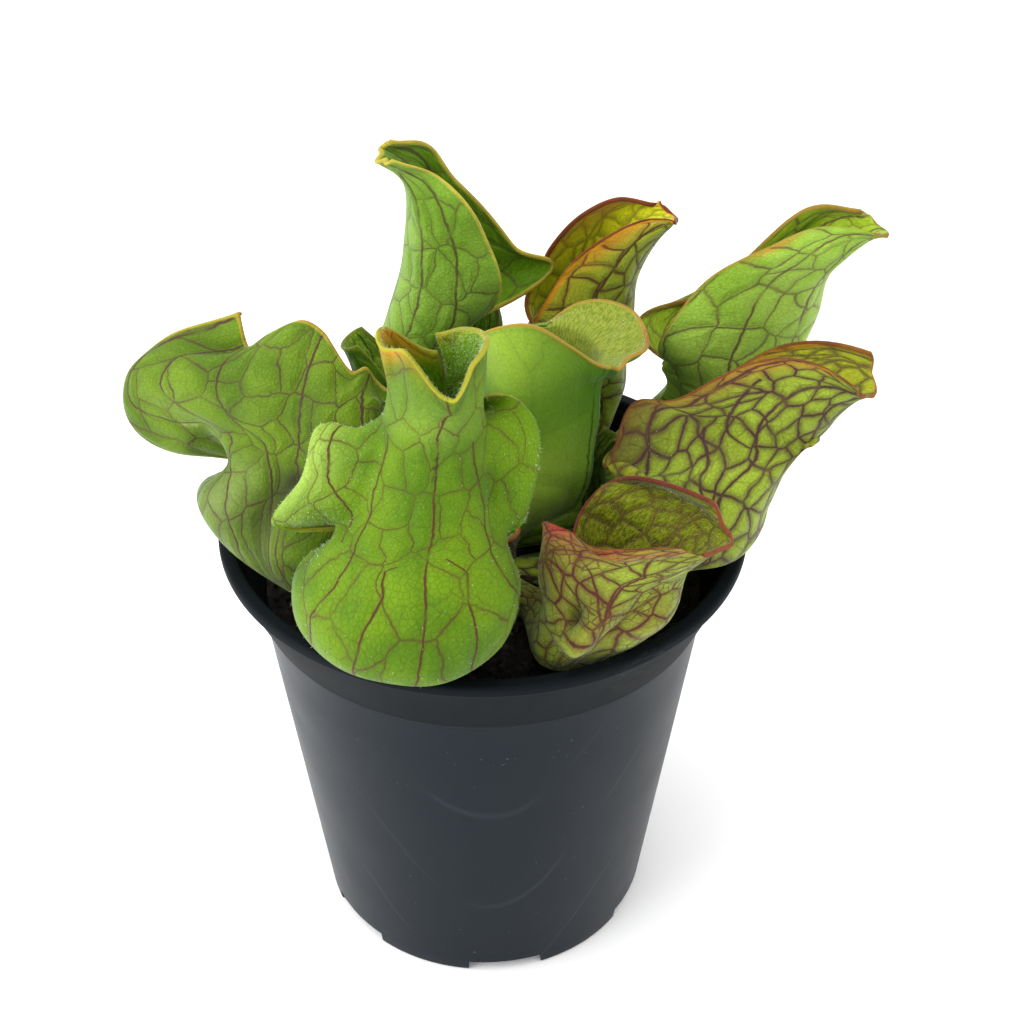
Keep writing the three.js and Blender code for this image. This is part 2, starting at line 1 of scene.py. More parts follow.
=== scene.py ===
"""A purple pitcher plant in a black nursery pot: the finished leaves, soil and pot."""
import math

import bpy
import numpy as np
from mathutils import Euler, Matrix, Vector


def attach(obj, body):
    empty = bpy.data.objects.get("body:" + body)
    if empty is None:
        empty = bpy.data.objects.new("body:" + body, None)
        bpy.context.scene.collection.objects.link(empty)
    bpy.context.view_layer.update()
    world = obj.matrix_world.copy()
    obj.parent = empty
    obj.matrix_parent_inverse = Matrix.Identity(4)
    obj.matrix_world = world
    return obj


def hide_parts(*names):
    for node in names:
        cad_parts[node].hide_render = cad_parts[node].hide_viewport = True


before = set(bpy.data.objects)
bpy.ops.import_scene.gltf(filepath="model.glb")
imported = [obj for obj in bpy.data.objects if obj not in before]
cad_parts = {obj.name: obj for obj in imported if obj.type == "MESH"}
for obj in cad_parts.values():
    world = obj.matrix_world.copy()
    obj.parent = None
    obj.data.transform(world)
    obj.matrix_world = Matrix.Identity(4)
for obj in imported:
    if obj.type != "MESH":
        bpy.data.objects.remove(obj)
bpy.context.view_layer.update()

MM = 0.001

# Pot, as the solid model has it.
RIM_RADIUS = 65.0
POT_HEIGHT = 120.0
RIM_WIDTH = 3.6
RIM_EDGE = 1.6
COLLAR_HEIGHT = 19.5
COLLAR_FOOT_RADIUS = 56.8
COLLAR_STEP = 0.9
BASE_RADIUS = 43.0
WALL = 1.2
FLOOR_HEIGHT = 3.6
FLOOR_THICKNESS = 1.6
FOOT_WIDTH = 2.8
FOOT_COUNT = 6
NOTCH_ANGLE = 27.0
NOTCH_TURN = -83.0
CENTRE_PAD_RADIUS = 12.0
DRAIN_RADIUS = 4.0
DRAIN_RING = 32.0
COLLAR_BOTTOM = POT_HEIGHT - COLLAR_HEIGHT
WALL_RINGS = (FLOOR_HEIGHT + 1, FLOOR_HEIGHT + 5, 30, 60, 90)  # rings of the wall, clear of the notches
POT_SEGMENTS = 240
HOLE_SEGMENTS = 32
ARC_STEPS = 6                   # points of each rounded corner of the profile
CORNER_SHARE = 0.45             # the most of a profile's side that a rounded corner takes
SHARP_ANGLE = math.radians(32)
FLOW_SWING = 25                 # height of the U-shaped flow lines in the pot's plastic
FLOW_GAP = 36
RUBBED_PLACE = (36, -52, 114)   # a rubbed patch inside the lip

# Soil and crown.
SOIL_TOP = 101.4
SOIL_RADIUS = 54.6
CROWN_X = -1.0
CROWN_Y = 2.0
CROWN_RADIUS = 9.8

# Leaves.
BLADE = 0.8
KEEL = 2.2
KEEL_START = 0.9
ROLL = 0.35
RIPPLE = 0.3
MARGIN_ROLL_REACH = 1.1
MARGIN_BULGE = 0.45             # how far the margin is rounded out, in blade thicknesses
MARGIN_CROWDING = 1.15          # above 1, the columns lie closer together near the margins
PEBBLE = 1.1                    # size of the fine pebbles of the skin
ROWS_PER_LEVEL = 9
COLUMNS = 109
YOUNG_ROWS_PER_LEVEL = 6
YOUNG_COLUMNS = 49
YOUNG_START = 103.0
LEAF_SHIFT = 100.0              # how far apart the leaves lie in the noise of their skins
LINING_SHIFT = 50.0             # how far each lining lies from its skin there

# Down: hairs to a square metre where it is thickest, and their size.
HAIRS_PER_AREA = 1.6e6
HAIR_LENGTH = 0.7
HAIR_WIDTH = 0.035
HAIR_LEAN = 0.5
HAIR_SCALES = ((0.6, 0.6, 0.4), (1.2, 1.2, 1.2))  # the least and the most random stretch
HAIR_SEED = 7

# Peat: name, pieces to a square metre, size and seed of each kind of crumb.
CRUMBS = (("peat_crumbs", 240000.0, 0.8, 11), ("peat_lumps", 26000.0, 1.9, 31))
CRUMB_LEAN = 3.0
CRUMB_SCALES = ((0.4, 0.3, 0.25), (1.6, 1.0, 0.8))
CRUMB_CLEARANCE = 1.0           # between the crown and the nearest crumbs
BED_DROP = 0.5                  # the bed of the crumbs lies this far under the soil's top
BED_MARGIN = 1.6
BED_RINGS = 14
BED_SEGMENTS = 64
FULL_TURN = 6.28

# Camera: metres and degrees, fitted to the edges of the lip, the collar and the foot in the photo.
CAMERA_PLACE = (0.0, -0.383372, 0.407702)
CAMERA_TILT = 53.1123
CAMERA_ROLL = -0.2604
CAMERA_TURN = -0.8633
CAMERA_LENS = 68.34

# Floor and light: place, aim, size in metres and power in watts of each soft light.
FLOOR_SIZE = 4.0
WORLD_STRENGTH = 1.32
SOFT_LIGHTS = (
    ("overhead light", (-0.2, -0.1, 1.2), (0.0, 0.0, 0.1), 1.0, 3.5),
    ("left light", (-1.2, -0.55, 0.8), (0.0, 0.0, 0.12), 1.3, 18.0),
)
WHITE = (1.0, 1.0, 1.0, 1.0)


def colour(red, green, blue):
    return (red, green, blue, 1.0)


# Camera and light

def photo_camera():
    """The photograph's view: from the front, looking down by about 37 degrees."""
    data = bpy.data.cameras.new("camera")
    data.sensor_width = 36.0
    data.lens = CAMERA_LENS
    data.clip_start = 0.01
    camera = bpy.data.objects.new("camera", data)
    angles = [math.radians(value) for value in (CAMERA_TILT, CAMERA_ROLL, CAMERA_TURN)]
    camera.matrix_world = Matrix.Translation(CAMERA_PLACE) @ Euler(angles).to_matrix().to_4x4()
    bpy.context.scene.collection.objects.link(camera)
    bpy.context.scene.camera = camera


def softbox(name, place, aim, size, power):
    """A square soft light that points from one place to another."""
    data = bpy.data.lights.new(name, "AREA")
    data.shape = "SQUARE"
    data.size = size
    data.energy = power
    lamp = bpy.data.objects.new(name, data)
    way = Vector(aim) - Vector(place)
    lamp.matrix_world = Matrix.Translation(place) @ way.to_track_quat("-Z", "Y").to_matrix().to_4x4()
    bpy.context.scene.collection.objects.link(lamp)


def studio():
    """Pale floor, white surroundings and soft lights from the upper left."""
    scene = bpy.context.scene
    scene.view_settings.view_transform = "Standard"
    scene.view_settings.look = "None"
    world = bpy.data.worlds.new("white surroundings")
    world.use_nodes = True
    background = world.node_tree.nodes["Background"]
    background.inputs["Color"].default_value = WHITE
    background.inputs["Strength"].default_value = WORLD_STRENGTH
    scene.world = world
    for light in SOFT_LIGHTS:
        softbox(*light)
    floor = pale_floor()


def pale_floor():
    """The near-white floor that the pot stands on."""
    half = FLOOR_SIZE / 2
    mesh = bpy.data.meshes.new("floor")
    corners = [(-half, -half, 0.0), (half, -half, 0.0), (half, half, 0.0), (-half, half, 0.0)]
    mesh.from_pydata(corners, [], [(0, 1, 2, 3)])
    floor = bpy.data.objects.new("floor", mesh)
    bpy.context.scene.collection.objects.link(floor)
    recipe = Recipe("pale floor")
    grain = recipe.noise(recipe.object_place(), 40.0, 2.0)
    tone = recipe.mix(grain, colour(0.97, 0.97, 0.97), colour(0.99, 0.99, 0.99))
    mesh.materials.append(recipe.finish(tone, roughness=0.9))
    return floor


# Materials

class Recipe:
    """A material's nodes, made step by step. Every step gives the socket of its result."""

    def __init__(self, name):
        self.material = bpy.data.materials.new(name)
        self.material.use_nodes = True
        self.tree = self.material.node_tree
        self.tree.nodes.clear()

    def node(self, kind, settings=(), inputs=()):
        made = self.tree.nodes.new(kind)
        for key, value in dict(settings).items():
            setattr(made, key, value)
        for key, value in dict(inputs).items():
            self.feed(made.inputs[key], value)
        return made

    def feed(self, socket, value):
        if isinstance(value, bpy.types.NodeSocket):
            self.tree.links.new(value, socket)
        else:
            socket.default_value = value

    def calc(self, operation, first, second=0.0, third=0.0):
        made = self.node("ShaderNodeMath", {"operation": operation})
        for socket, value in zip(made.inputs, (first, second, third)):
            self.feed(socket, value)
        return made.outputs[0]

    def vector(self, operation, first, second=(0.0, 0.0, 0.0)):
        made = self.node("ShaderNodeVectorMath", {"operation": operation})
        self.feed(made.inputs[0], first)
        self.feed(made.inputs[1], second)
        return made.outputs[0]

    def mix(self, factor, first, second):
        """A mix of two colours. A colour mix has its own sockets: the seventh and eighth."""
        made = self.node("ShaderNodeMix", {"data_type": "RGBA", "clamp_factor": True})
        self.feed(made.inputs[0], factor)
        self.feed(made.inputs[6], first)
        self.feed(made.inputs[7], second)
        return made.outputs[2]

    def band(self, value, low, high):
        """0 at low and 1 at high, smooth between them. low may be the larger."""
        made = self.node("ShaderNodeMapRange", {"interpolation_type": "SMOOTHSTEP"})
        for name, given in (("Value", value), ("From Min", low), ("From Max", high)):
            self.feed(made.inputs[name], given)
        return made.outputs[0]

    def noise(self, place, scale, detail, rough=0.5, output="Fac"):
        made = self.node("ShaderNodeTexNoise", {"noise_dimensions": "3D"})
        for name, given in (("Vector", place), ("Scale", scale), ("Detail", detail), ("Roughness", rough)):
            self.feed(made.inputs[name], given)
        return made.outputs[output]

    def net(self, place, uneven=1.0):
        """The distance to the nearest line of an irregular net with cells of size 1."""
        kind = {"voronoi_dimensions": "2D", "feature": "DISTANCE_TO_EDGE"}
        made = self.node("ShaderNodeTexVoronoi", kind)
        self.feed(made.inputs["Vector"], place)
        made.inputs["Scale"].default_value = 1.0
        made.inputs["Randomness"].default_value = uneven
        return made.outputs["Distance"]

    def object_place(self):
        return self.node("ShaderNodeTexCoord").outputs["Object"]

    def attribute(self, name):
        """A vector that the mesh carries on each point."""
        found = self.node("ShaderNodeAttribute", {"attribute_type": "GEOMETRY", "attribute_name": name})
        return found.outputs["Vector"]

    def parts(self, vector):
        """The three numbers of a vector."""
        return self.node("ShaderNodeSeparateXYZ", inputs={"Vector": vector}).outputs

    def join(self, x, y, z):
        made = self.node("ShaderNodeCombineXYZ")
        for socket, value in zip(made.inputs, (x, y, z)):
            self.feed(socket, value)
        return made.outputs[0]

    def bump(self, height, depth, strength, below=None):
        sockets = {"Height": height, "Distance": depth, "Strength": strength}
        made = self.node("ShaderNodeBump", inputs=sockets)
        if below is not None:
            self.feed(made.inputs["Normal"], below)
        return made.outputs[0]

    def finish(self, base, roughness=0.5, normal=None, **constants):
        shader = self.node("ShaderNodeBsdfPrincipled")
        self.feed(shader.inputs["Base Color"], base)
        self.feed(shader.inputs["Roughness"], roughness)
        if normal is not None:
            self.feed(shader.inputs["Normal"], normal)
        for name, value in constants.items():
            shader.inputs[name.replace("_", " ")].default_value = value
        output = self.node("ShaderNodeOutputMaterial")
        self.tree.links.new(shader.outputs[0], output.inputs["Surface"])
        return self.material


# What a leaf's skin has unless its own recipe says otherwise. Lengths are in millimetres.
PLAIN_SKIN = {
    "rib_width": 0.35, "rib_strength": 0.9,
    "net_size": 9.0, "net_width": 0.16, "net_strength": 0.6, "net_stretch": 0.75,
    "fine_size": 3.2, "fine_strength": 0.25, "inside_veins": 1.0,
    "halo": 0.3, "halo_width": 1.2, "glow": 0.3, "pebbles": 0.28, "fuzz": 0.2,
    "edge": (0.3, 0.3, 0.03), "edge_width": 1.0,
    "rim": (0.25, 0.09, 0.02), "rim_width": 0.35, "rim_share": 0.5,
    "inside": ((0.12, 0.26, 0.01), (0.28, 0.42, 0.04)),
    "blush": (0.35, 0.05, 0.03), "pale": (0.36, 0.42, 0.16), "deep": (0.02, 0.02, 0.006),
}


def wander(recipe, flat, net_size):
    """Where the veins lie after their wide swings and small kinks, and how far the ribs sway."""
    swing = recipe.vector("SUBTRACT", recipe.noise(flat, 0.09, 1.0, output="Color"), (0.5, 0.5, 0.5))
    kink = recipe.vector("SUBTRACT", recipe.noise(flat, 0.55, 1.0, output="Color"), (0.5, 0.5, 0.5))
    here = recipe.vector("ADD", flat, recipe.vector("MULTIPLY", swing, (6.0, 6.0, 0.0)))
    shift = 0.11 * net_size
    here = recipe.vector("ADD", here, recipe.vector("MULTIPLY", kink, (shift, shift, 0.0)))
    sway = recipe.vector("MULTIPLY", swing, (2.2, 2.2, 2.2))
    sway = recipe.vector("ADD", sway, recipe.vector("MULTIPLY", kink, (0.8, 0.8, 0.8)))
    return here, sway


def rib_distance(recipe, sway):
    """How far the nearest of the leaf's six rib paths is."""
    first, more = (
        recipe.vector("ABSOLUTE", recipe.vector("ADD", recipe.attribute(name), sway))
        for name in ("ribs", "more_ribs")
    )
    x, y, z = recipe.parts(recipe.vector("MINIMUM", first, more))
    return recipe.calc("MINIMUM", x, recipe.calc("MINIMUM", y, z))


def net_distance(recipe, here, size, stretch):
    """How far the nearest vein of a net is, whose cells have that size and stretch."""
    cells = recipe.vector("MULTIPLY", here, (1.0 / size, stretch / size, 1.0))
    return recipe.calc("MULTIPLY", recipe.net(cells), size)


def vein_lines(recipe, look, here, flat, rib_far, net_far):
    """The ribs, the net between them and a finer net inside it. Each fades here and there."""
    rib_width, net_width, strength = look["rib_width"], look["net_width"], look["net_strength"]
    worn = recipe.noise(flat, 0.12, 2.0)
    rib_fade = recipe.calc("MULTIPLY", recipe.band(worn, 0.2, 0.5), look["rib_strength"])
    rib_line = recipe.band(rib_far, rib_width * 1.15 + 0.12, rib_width * 0.45)
    net_fade = recipe.calc("MULTIPLY_ADD", recipe.band(worn, 0.3, 0.6), 0.45 * strength, 0.55 * strength)
    net_line = recipe.band(net_far, net_width * 1.2 + 0.14, net_width * 0.4)
    fine_fade = recipe.calc("MULTIPLY", recipe.band(worn, 0.62, 0.4), look["fine_strength"])
    fine_line = recipe.band(net_distance(recipe, here, look["fine_size"], 0.85), 0.24, 0.05)
    ribs = recipe.calc("MULTIPLY", rib_line, rib_fade)
    net = recipe.calc("MULTIPLY", net_line, net_fade)
    fine = recipe.calc("MULTIPLY", fine_line, fine_fade)
    return recipe.calc("MAXIMUM", ribs, recipe.calc("MAXIMUM", net, fine))


def skin_flesh(recipe, look, place, speck, crack, beside):
    """Cloudy light and dark green, brighter in the middle of a cell, with fine dark cracks."""
    light, shade = look["light"], look["shade"]
    bright = tuple(min(1.0, 1.35 * value + 0.01) for value in light)
    dim = tuple(0.55 * value for value in shade)
    cloud = recipe.noise(place, 55.0, 3.0)
    flesh = recipe.mix(recipe.band(cloud, 0.36, 0.64), colour(*shade), colour(*light))
    grain = recipe.calc("MULTIPLY", recipe.band(speck, 0.42, 0.7), look["glow"])
    grain = recipe.calc("MULTIPLY", grain, recipe.band(beside, 0.3, look["net_size"] * 0.3))
    flesh = recipe.mix(grain, flesh, colour(*bright))
    return cloud, recipe.mix(recipe.calc("MULTIPLY", crack, look["pebbles"]), flesh, colour(*dim))


def lining_colour(recipe, look, flat):
    """The streaky inside of a leaf."""
    streak = recipe.noise(recipe.vector("MULTIPLY", flat, (2.6, 0.6, 1.0)), 1.0, 2.0, 0.6)
    dark, pale = look["inside"]
    return recipe.mix(recipe.band(streak, 0.36, 0.64), colour(*dark), colour(*pale))


def with_margin(recipe, look, base, place, to_edge):
    """The leaf with a margin of uneven width and, over parts of it, a dry brown rim."""
    edge_width, rim_width, rim_share = look["edge_width"], look["rim_width"], look["rim_share"]
    ragged = recipe.noise(place, 170.0, 3.0, 0.6)
    patch = recipe.noise(place, 38.0, 2.0)
    reach = recipe.calc("MULTIPLY_ADD", ragged, edge_width * 1.6, edge_width * 0.2)
    margin = recipe.band(recipe.calc("SUBTRACT", to_edge, reach), 0.4, -0.5)
    base = recipe.mix(margin, base, colour(*look["edge"]))
    dry = recipe.band(patch, 0.72 - 0.5 * rim_share, 0.8 - 0.5 * rim_share)
    wide = recipe.calc("MULTIPLY_ADD", ragged, rim_width * 2.4, -0.2 * rim_width)
    rim = recipe.calc("SUBTRACT", to_edge, recipe.calc("MULTIPLY", wide, dry))
    return recipe.mix(recipe.band(rim, 0.25, -0.15), base, colour(*look["rim"]))


def skin_relief(recipe, look, place, crack, beside, veins):
    """Raised veins, pillows between them, and a felted skin."""
    felt = recipe.bump(recipe.noise(place, 2600.0, 2.0, 0.6), 0.00012, 0.55)
    felt = recipe.bump(crack, -0.00012, 0.5, felt)
    pillows = recipe.bump(recipe.band(beside, 0.0, look["net_size"] * 0.3), 0.0006, 0.65, felt)
    return recipe.bump(veins, 0.00022, 0.6, pillows)


def leaf_skin(name, seed, **changes):
    """Living leaf: green flesh, ribs and a net of veins, a coloured margin, and a felted skin."""
    look = {**PLAIN_SKIN, **changes}
    vein = colour(*look["vein"])
    recipe = Recipe(name)
    place = recipe.object_place()
    across, along, _ = recipe.parts(recipe.attribute("net"))
    to_edge, inner, _ = recipe.parts(recipe.attribute("place"))
    blush_here, pale_here, deep_here = recipe.parts(recipe.attribute("tint"))
    flat = recipe.join(across, along, recipe.calc("MULTIPLY_ADD", inner, LINING_SHIFT, seed * LEAF_SHIFT))

    here, sway = wander(recipe, flat, look["net_size"])
    rib_far = rib_distance(recipe, sway)
    net_far = net_distance(recipe, here, look["net_size"], look["net_stretch"])
    beside = recipe.calc("MINIMUM", net_far, rib_far)
    veins = vein_lines(recipe, look, here, flat, rib_far, net_far)
    thinner = recipe.calc("MULTIPLY_ADD", inner, look["inside_veins"] - 1.0, 1.0)
    veins = recipe.calc("MULTIPLY", veins, thinner)

    speck = recipe.noise(place, 1500.0, 2.0, 0.7)
    pebble = recipe.net(recipe.vector("MULTIPLY", flat, (1.0 / PEBBLE, 1.0 / PEBBLE, 1.0)), 0.9)
    crack = recipe.band(pebble, 0.16, 0.02)
    cloud, flesh = skin_flesh(recipe, look, place, speck, crack, beside)
    pale_share = recipe.calc("MULTIPLY", pale_here, recipe.calc("MULTIPLY_ADD", speck, 0.6, 0.5))
    flesh = recipe.mix(pale_share, flesh, colour(*look["pale"]))
    flesh = recipe.mix(inner, flesh, lining_colour(recipe, look, flat))
    halo = recipe.calc("MULTIPLY", recipe.band(beside, look["halo_width"], 0.0), look["halo"])
    flesh = recipe.mix(halo, flesh, vein)
    blush_share = recipe.calc("MULTIPLY", blush_here, recipe.band(cloud, 0.2, 0.55))
    flesh = recipe.mix(blush_share, flesh, colour(*look["blush"]))
    base = recipe.mix(veins, flesh, vein)
    base = recipe.mix(deep_here, base, colour(*look["deep"]))
    base = with_margin(recipe, look, base, place, to_edge)

    rough = recipe.calc("MULTIPLY_ADD", speck, 0.2, 0.42)
    normal = skin_relief(recipe, look, place, crack, beside, veins)
    return recipe.finish(
        base, rough, normal, Specular_IOR_Level=0.1,
        Sheen_Weight=look["fuzz"], Sheen_Roughness=0.4, Sheen_Tint=colour(0.85, 1.0, 0.7),
    )


def flow_lines(recipe, place, height):
    """Faint U-shaped lines, where the plastic ran up the wall in broad waves."""
    x, y, _ = recipe.parts(place)
    angle = recipe.calc("ARCTAN2", y, x)
    wave = recipe.calc("COSINE", recipe.calc("MULTIPLY_ADD", angle, 3.0, math.radians(270)))
    drift = recipe.calc("MULTIPLY_ADD", recipe.noise(place, 18.0, 2.0), 0.016, -0.008)
    front = recipe.calc("ADD", recipe.calc("MULTIPLY_ADD", wave, FLOW_SWING * MM, height), drift)
    part = recipe.calc("FRACT", recipe.calc("MULTIPLY", front, 1.0 / (FLOW_GAP * MM)))
    step = recipe.calc("ABSOLUTE", recipe.calc("SUBTRACT", part, 0.5))
    patchy = recipe.band(recipe.noise(place, 30.0, 1.0), 0.4, 0.6)
    line = recipe.calc("MULTIPLY", recipe.band(step, 0.05, 0.0), patchy)
    top, fade = (COLLAR_BOTTOM - 3.5) * MM, 7 * MM
    return recipe.calc("MULTIPLY", line, recipe.band(height, top, top - fade))


def painted_edge_highlights(recipe, height):
    """Pale lines painted along the edges under the collar and under the lip: painted highlights."""
    edges = []
    for edge_height in (COLLAR_BOTTOM + 0.3, POT_HEIGHT - 2.9):
        near = recipe.calc("ABSOLUTE", recipe.calc("SUBTRACT", height, edge_height * MM))
        edges.append(recipe.band(near, 0.7 * MM, 0.2 * MM))
    return recipe.calc("MAXIMUM", *edges)


def rubbed_patch(recipe, place):
    """Scratches that lie close together inside the lip."""
    away = recipe.vector("SUBTRACT", place, tuple(value * MM for value in RUBBED_PLACE))
    far = recipe.node("ShaderNodeVectorMath", {"operation": "LENGTH"}, {0: away}).outputs["Value"]
    grain = recipe.noise(recipe.vector("MULTIPLY", place, (0.5, 0.5, 4.0)), 420.0, 3.0, 0.7)
    return recipe.calc("MULTIPLY", recipe.band(far, 13 * MM, 4 * MM), recipe.band(grain, 0.5, 0.6))


def black_plastic():
    """Satin black plastic with flow lines, painted highlight lines at two edges, scuffs, dust and painted
    shade on the collar.
    """
    recipe = Recipe("black plastic")
    place = recipe.object_place()
    height = recipe.parts(place)[2]
    line = flow_lines(recipe, place, height)
    brushed = recipe.noise(recipe.vector("MULTIPLY", place, (1.0, 1.0, 3.0)), 260.0, 4.0, 0.7)
    # The collar band: rougher plastic, and darkened with painted shade.
    collar = recipe.band(height, (COLLAR_BOTTOM - 2) * MM, COLLAR_BOTTOM * MM)
    marks = [
        # Painted highlights: pale lines along the edge under the collar and the edge under the lip.
        (painted_edge_highlights(recipe, height), 0.8, colour(0.045, 0.052, 0.06)),
        (recipe.band(brushed, 0.62, 0.8), 0.12, colour(0.025, 0.028, 0.033)),
        (recipe.band(recipe.noise(place, 900.0, 1.0), 0.76, 0.82), 0.4, colour(0.12, 0.12, 0.12)),
        (rubbed_patch(recipe, place), 0.6, colour(0.13, 0.15, 0.15)),
        # Painted shade: the collar darkened nearly to black.
        (collar, 0.85, colour(0.002, 0.003, 0.004)),
    ]
    black, flow = colour(0.005, 0.008, 0.012), colour(0.022, 0.028, 0.034)
    base = recipe.mix(recipe.calc("MULTIPLY", line, 0.4), black, flow)
    for mark, strength, tone in marks:
        base = recipe.mix(recipe.calc("MULTIPLY", mark, strength), base, tone)
    rough = recipe.calc("MULTIPLY_ADD", recipe.noise(place, 60.0, 3.0), 0.14, 0.3)
    rough = recipe.calc("MULTIPLY_ADD", collar, 0.3, rough)
    grain = recipe.bump(recipe.noise(place, 1800.0, 2.0), 0.00003, 0.5)
    normal = recipe.bump(line, 0.00004, 0.3, grain)
    shine = colour(0.8, 0.92, 1.0)
    return recipe.finish(base, rough, normal, Specular_IOR_Level=0.11, Specular_Tint=shine)


def peat():
    recipe = Recipe("peat")
    place = recipe.object_place()
    clump = recipe.noise(place, 220.0, 4.0, 0.65)
    base = recipe.mix(recipe.band(clump, 0.4, 0.7), colour(0.012, 0.011, 0.01), colour(0.06, 0.045, 0.035))
    strands = recipe.noise(recipe.vector("MULTIPLY", place, (1.0, 6.0, 3.0)), 180.0, 3.0)
    fibre = recipe.band(strands, 0.66, 0.72)
    base = recipe.mix(recipe.calc("MULTIPLY", fibre, 0.5), base, colour(0.1, 0.065, 0.035))
    normal = recipe.bump(recipe.noise(place, 600.0, 5.0, 0.7), 0.0009, 0.9)
    return recipe.finish(base, 0.9, normal, Specular_IOR_Level=0.25)


def bark():
    recipe = Recipe("rootstock bark")
    place = recipe.object_place()
    ring = recipe.noise(recipe.vector("MULTIPLY", place, (1.0, 1.0, 4.0)), 240.0, 4.0, 0.6)
    base = recipe.mix(recipe.band(ring, 0.35, 0.65), colour(0.05, 0.022, 0.012), colour(0.2, 0.11, 0.05))
    return recipe.finish(base, 0.8, recipe.bump(ring, 0.0006, 0.8), Specular_IOR_Level=0.3)


def down():
    """The short white hairs of the leaves."""
    recipe = Recipe("white down")
    tone = recipe.noise(recipe.object_place(), 300.0, 2.0)
    base = recipe.mix(tone, colour(0.62, 0.68, 0.45), colour(0.9, 0.93, 0.8))
    return recipe.finish(base, 0.5, Specular_IOR_Level=0.3)


# Leaf surfaces

def between_levels(levels, u):
    """The fields of every place u, on smooth curves through the levels."""
    table = np.array(levels, float)
    last = len(table) - 1
    u = np.clip(u, 0, last - 1e-9)
    i = u.astype(int)
    f = (u - i)[:, None]
    before = np.where((i == 0)[:, None], 2 * table[i] - table[i + 1], table[np.maximum(i - 1, 0)])
    after = np.where((i + 2 > last)[:, None], 2 * table[i + 1] - table[i], table[np.minimum(i + 2, last)])
    start, end = table[i], table[i + 1]
    linear = (end - before) * f
    square = (2 * before - 5 * start + 4 * end - after) * f * f
    cube = (3 * start - before - 3 * end + after) * f ** 3
    return 0.5 * (2 * start + linear + square + cube)


def smooth(value):
    value = np.clip(value, 0, 1)
    return value * value * (3 - 2 * value)


def outer_face(plant, u, t):
    """The points of a leaf's outer face, in millimetres, for rows u and columns t."""
    levels = plant["levels"]
    last = len(levels) - 1
    mouth = plant["mouth"]
    fields = between_levels(levels, u).T[:, :, None]
    x, y, z, face, tip, deep = fields[:6]
    left, right = fields[6::2], fields[7::2]
    t = t[None, :]
    wide, wrap, flare, back, rise = (np.where(t < 0, a, b) for a, b in zip(left, right))
    away = np.abs(t)
    u = u[:, None]
    closed = u <= mouth
    wrap = np.where(closed, 180, np.clip(wrap, 10, 180))
    angle = np.radians(wrap) * away
    hinge = plant["hinge"]
    opened = np.where(closed, 0, smooth((away - hinge) / (1 - hinge)))
    lateral = np.sign(t) * (wide * np.sin(angle) + flare * opened)
    depth = deep * (1 - np.cos(angle)) / 2 - back * opened
    rise = rise * opened
    outward = np.zeros_like(rise)
    for at, width, up, out in plant["lobes"]:
        reach = smooth((u - last) / 1.5 + 1) * np.exp(-((t - at) / width) ** 2)
        rise = rise + up * reach
        outward = outward + out * reach
    count, height, phase = plant["wave"]
    mouth_edge = smooth((away - 0.5) / 0.5) * smooth((u - mouth) / 0.8)
    top_edge = smooth((u - last) / 0.8 + 1) * (1 - mouth_edge)
    along = (u - mouth) / max(last - mouth, 1)
    outward = outward + height * mouth_edge * np.sin(2 * math.pi * count * along + phase + 1.5 * t)
    outward = outward + height * top_edge * np.sin(math.pi * count * t + phase)
    lateral = lateral + outward * np.sin(angle) * np.sign(t)
    depth = depth - outward * np.cos(angle)
    tube = smooth((u - 1) / 1.5) * closed
    depth = depth + KEEL * tube * smooth((away - KEEL_START) / (1 - KEEL_START))
    face, tip = np.radians(face), np.radians(tip)
    out = rise * np.sin(tip) - depth * np.cos(tip)
    return np.stack([
        x + out * np.cos(face) - lateral * np.sin(face),
        y + out * np.sin(face) + lateral * np.cos(face),
        z + depth * np.sin(tip) + rise * np.cos(tip),
    ], -1)


def unit(vectors):
    length = np.linalg.norm(vectors, axis=-1, keepdims=True)
    return vectors / np.maximum(length, 1e-9)


def outward_normals(grid, closed):
    """Normals of the outer face. A closed row meets itself at the keel, so its ends share one."""
    along = np.gradient(grid, axis=0)
    across = np.gradient(grid, axis=1)
    wrapped = (grid[:, 1] - grid[:, -2]) / 2
    across[closed, 0] = wrapped[closed]
    across[closed, -1] = wrapped[closed]
    return unit(np.cross(across, along))


def flat_lengths(grid, t):
    """How far each point lies across from the back rib, and along from the stalk, on the leaf."""
    middle = int(np.argmin(np.abs(t)))
    across = np.cumsum(np.linalg.norm(np.diff(grid, axis=1), axis=-1), axis=1)
    across = np.concatenate([np.zeros((len(grid), 1)), across], 1)
    across = across - across[:, middle:middle + 1]
    along = np.cumsum(np.linalg.norm(np.diff(grid, axis=0), axis=-1), axis=0)
    along = np.concatenate([np.zeros((1, grid.shape[1])), along], 0)
    return across, along


def net_places(across, along, fan):
    """Where each point lies in the net of veins, which fans out with the blade by the share fan."""
    upper = len(across) // 3
    side = fan * across[upper:].mean(axis=0)[None, :] + (1 - fan) * across
    climb = fan * along.mean(axis=1)[:, None] + (1 - fan) * along
    return np.stack([side, climb, np.zeros_like(across)], -1)


def margin_distance(plant, u, across, along):
    """How far each point is from the leaf's margin."""
    to_top = along[-1:] - along
    sideways = np.minimum(across[:, -1:] - across, across - across[:, :1])
    opened = (u > plant["mouth"])[:, None]
    first = int(np.argmax(u > plant["mouth"])) if opened.any() else len(u) - 1
    short = np.maximum(along[first:first + 1] - along, 0)
    if not opened.any():
        return to_top
    return np.minimum(to_top, np.where(opened, sideways, np.hypot(sideways, short)))


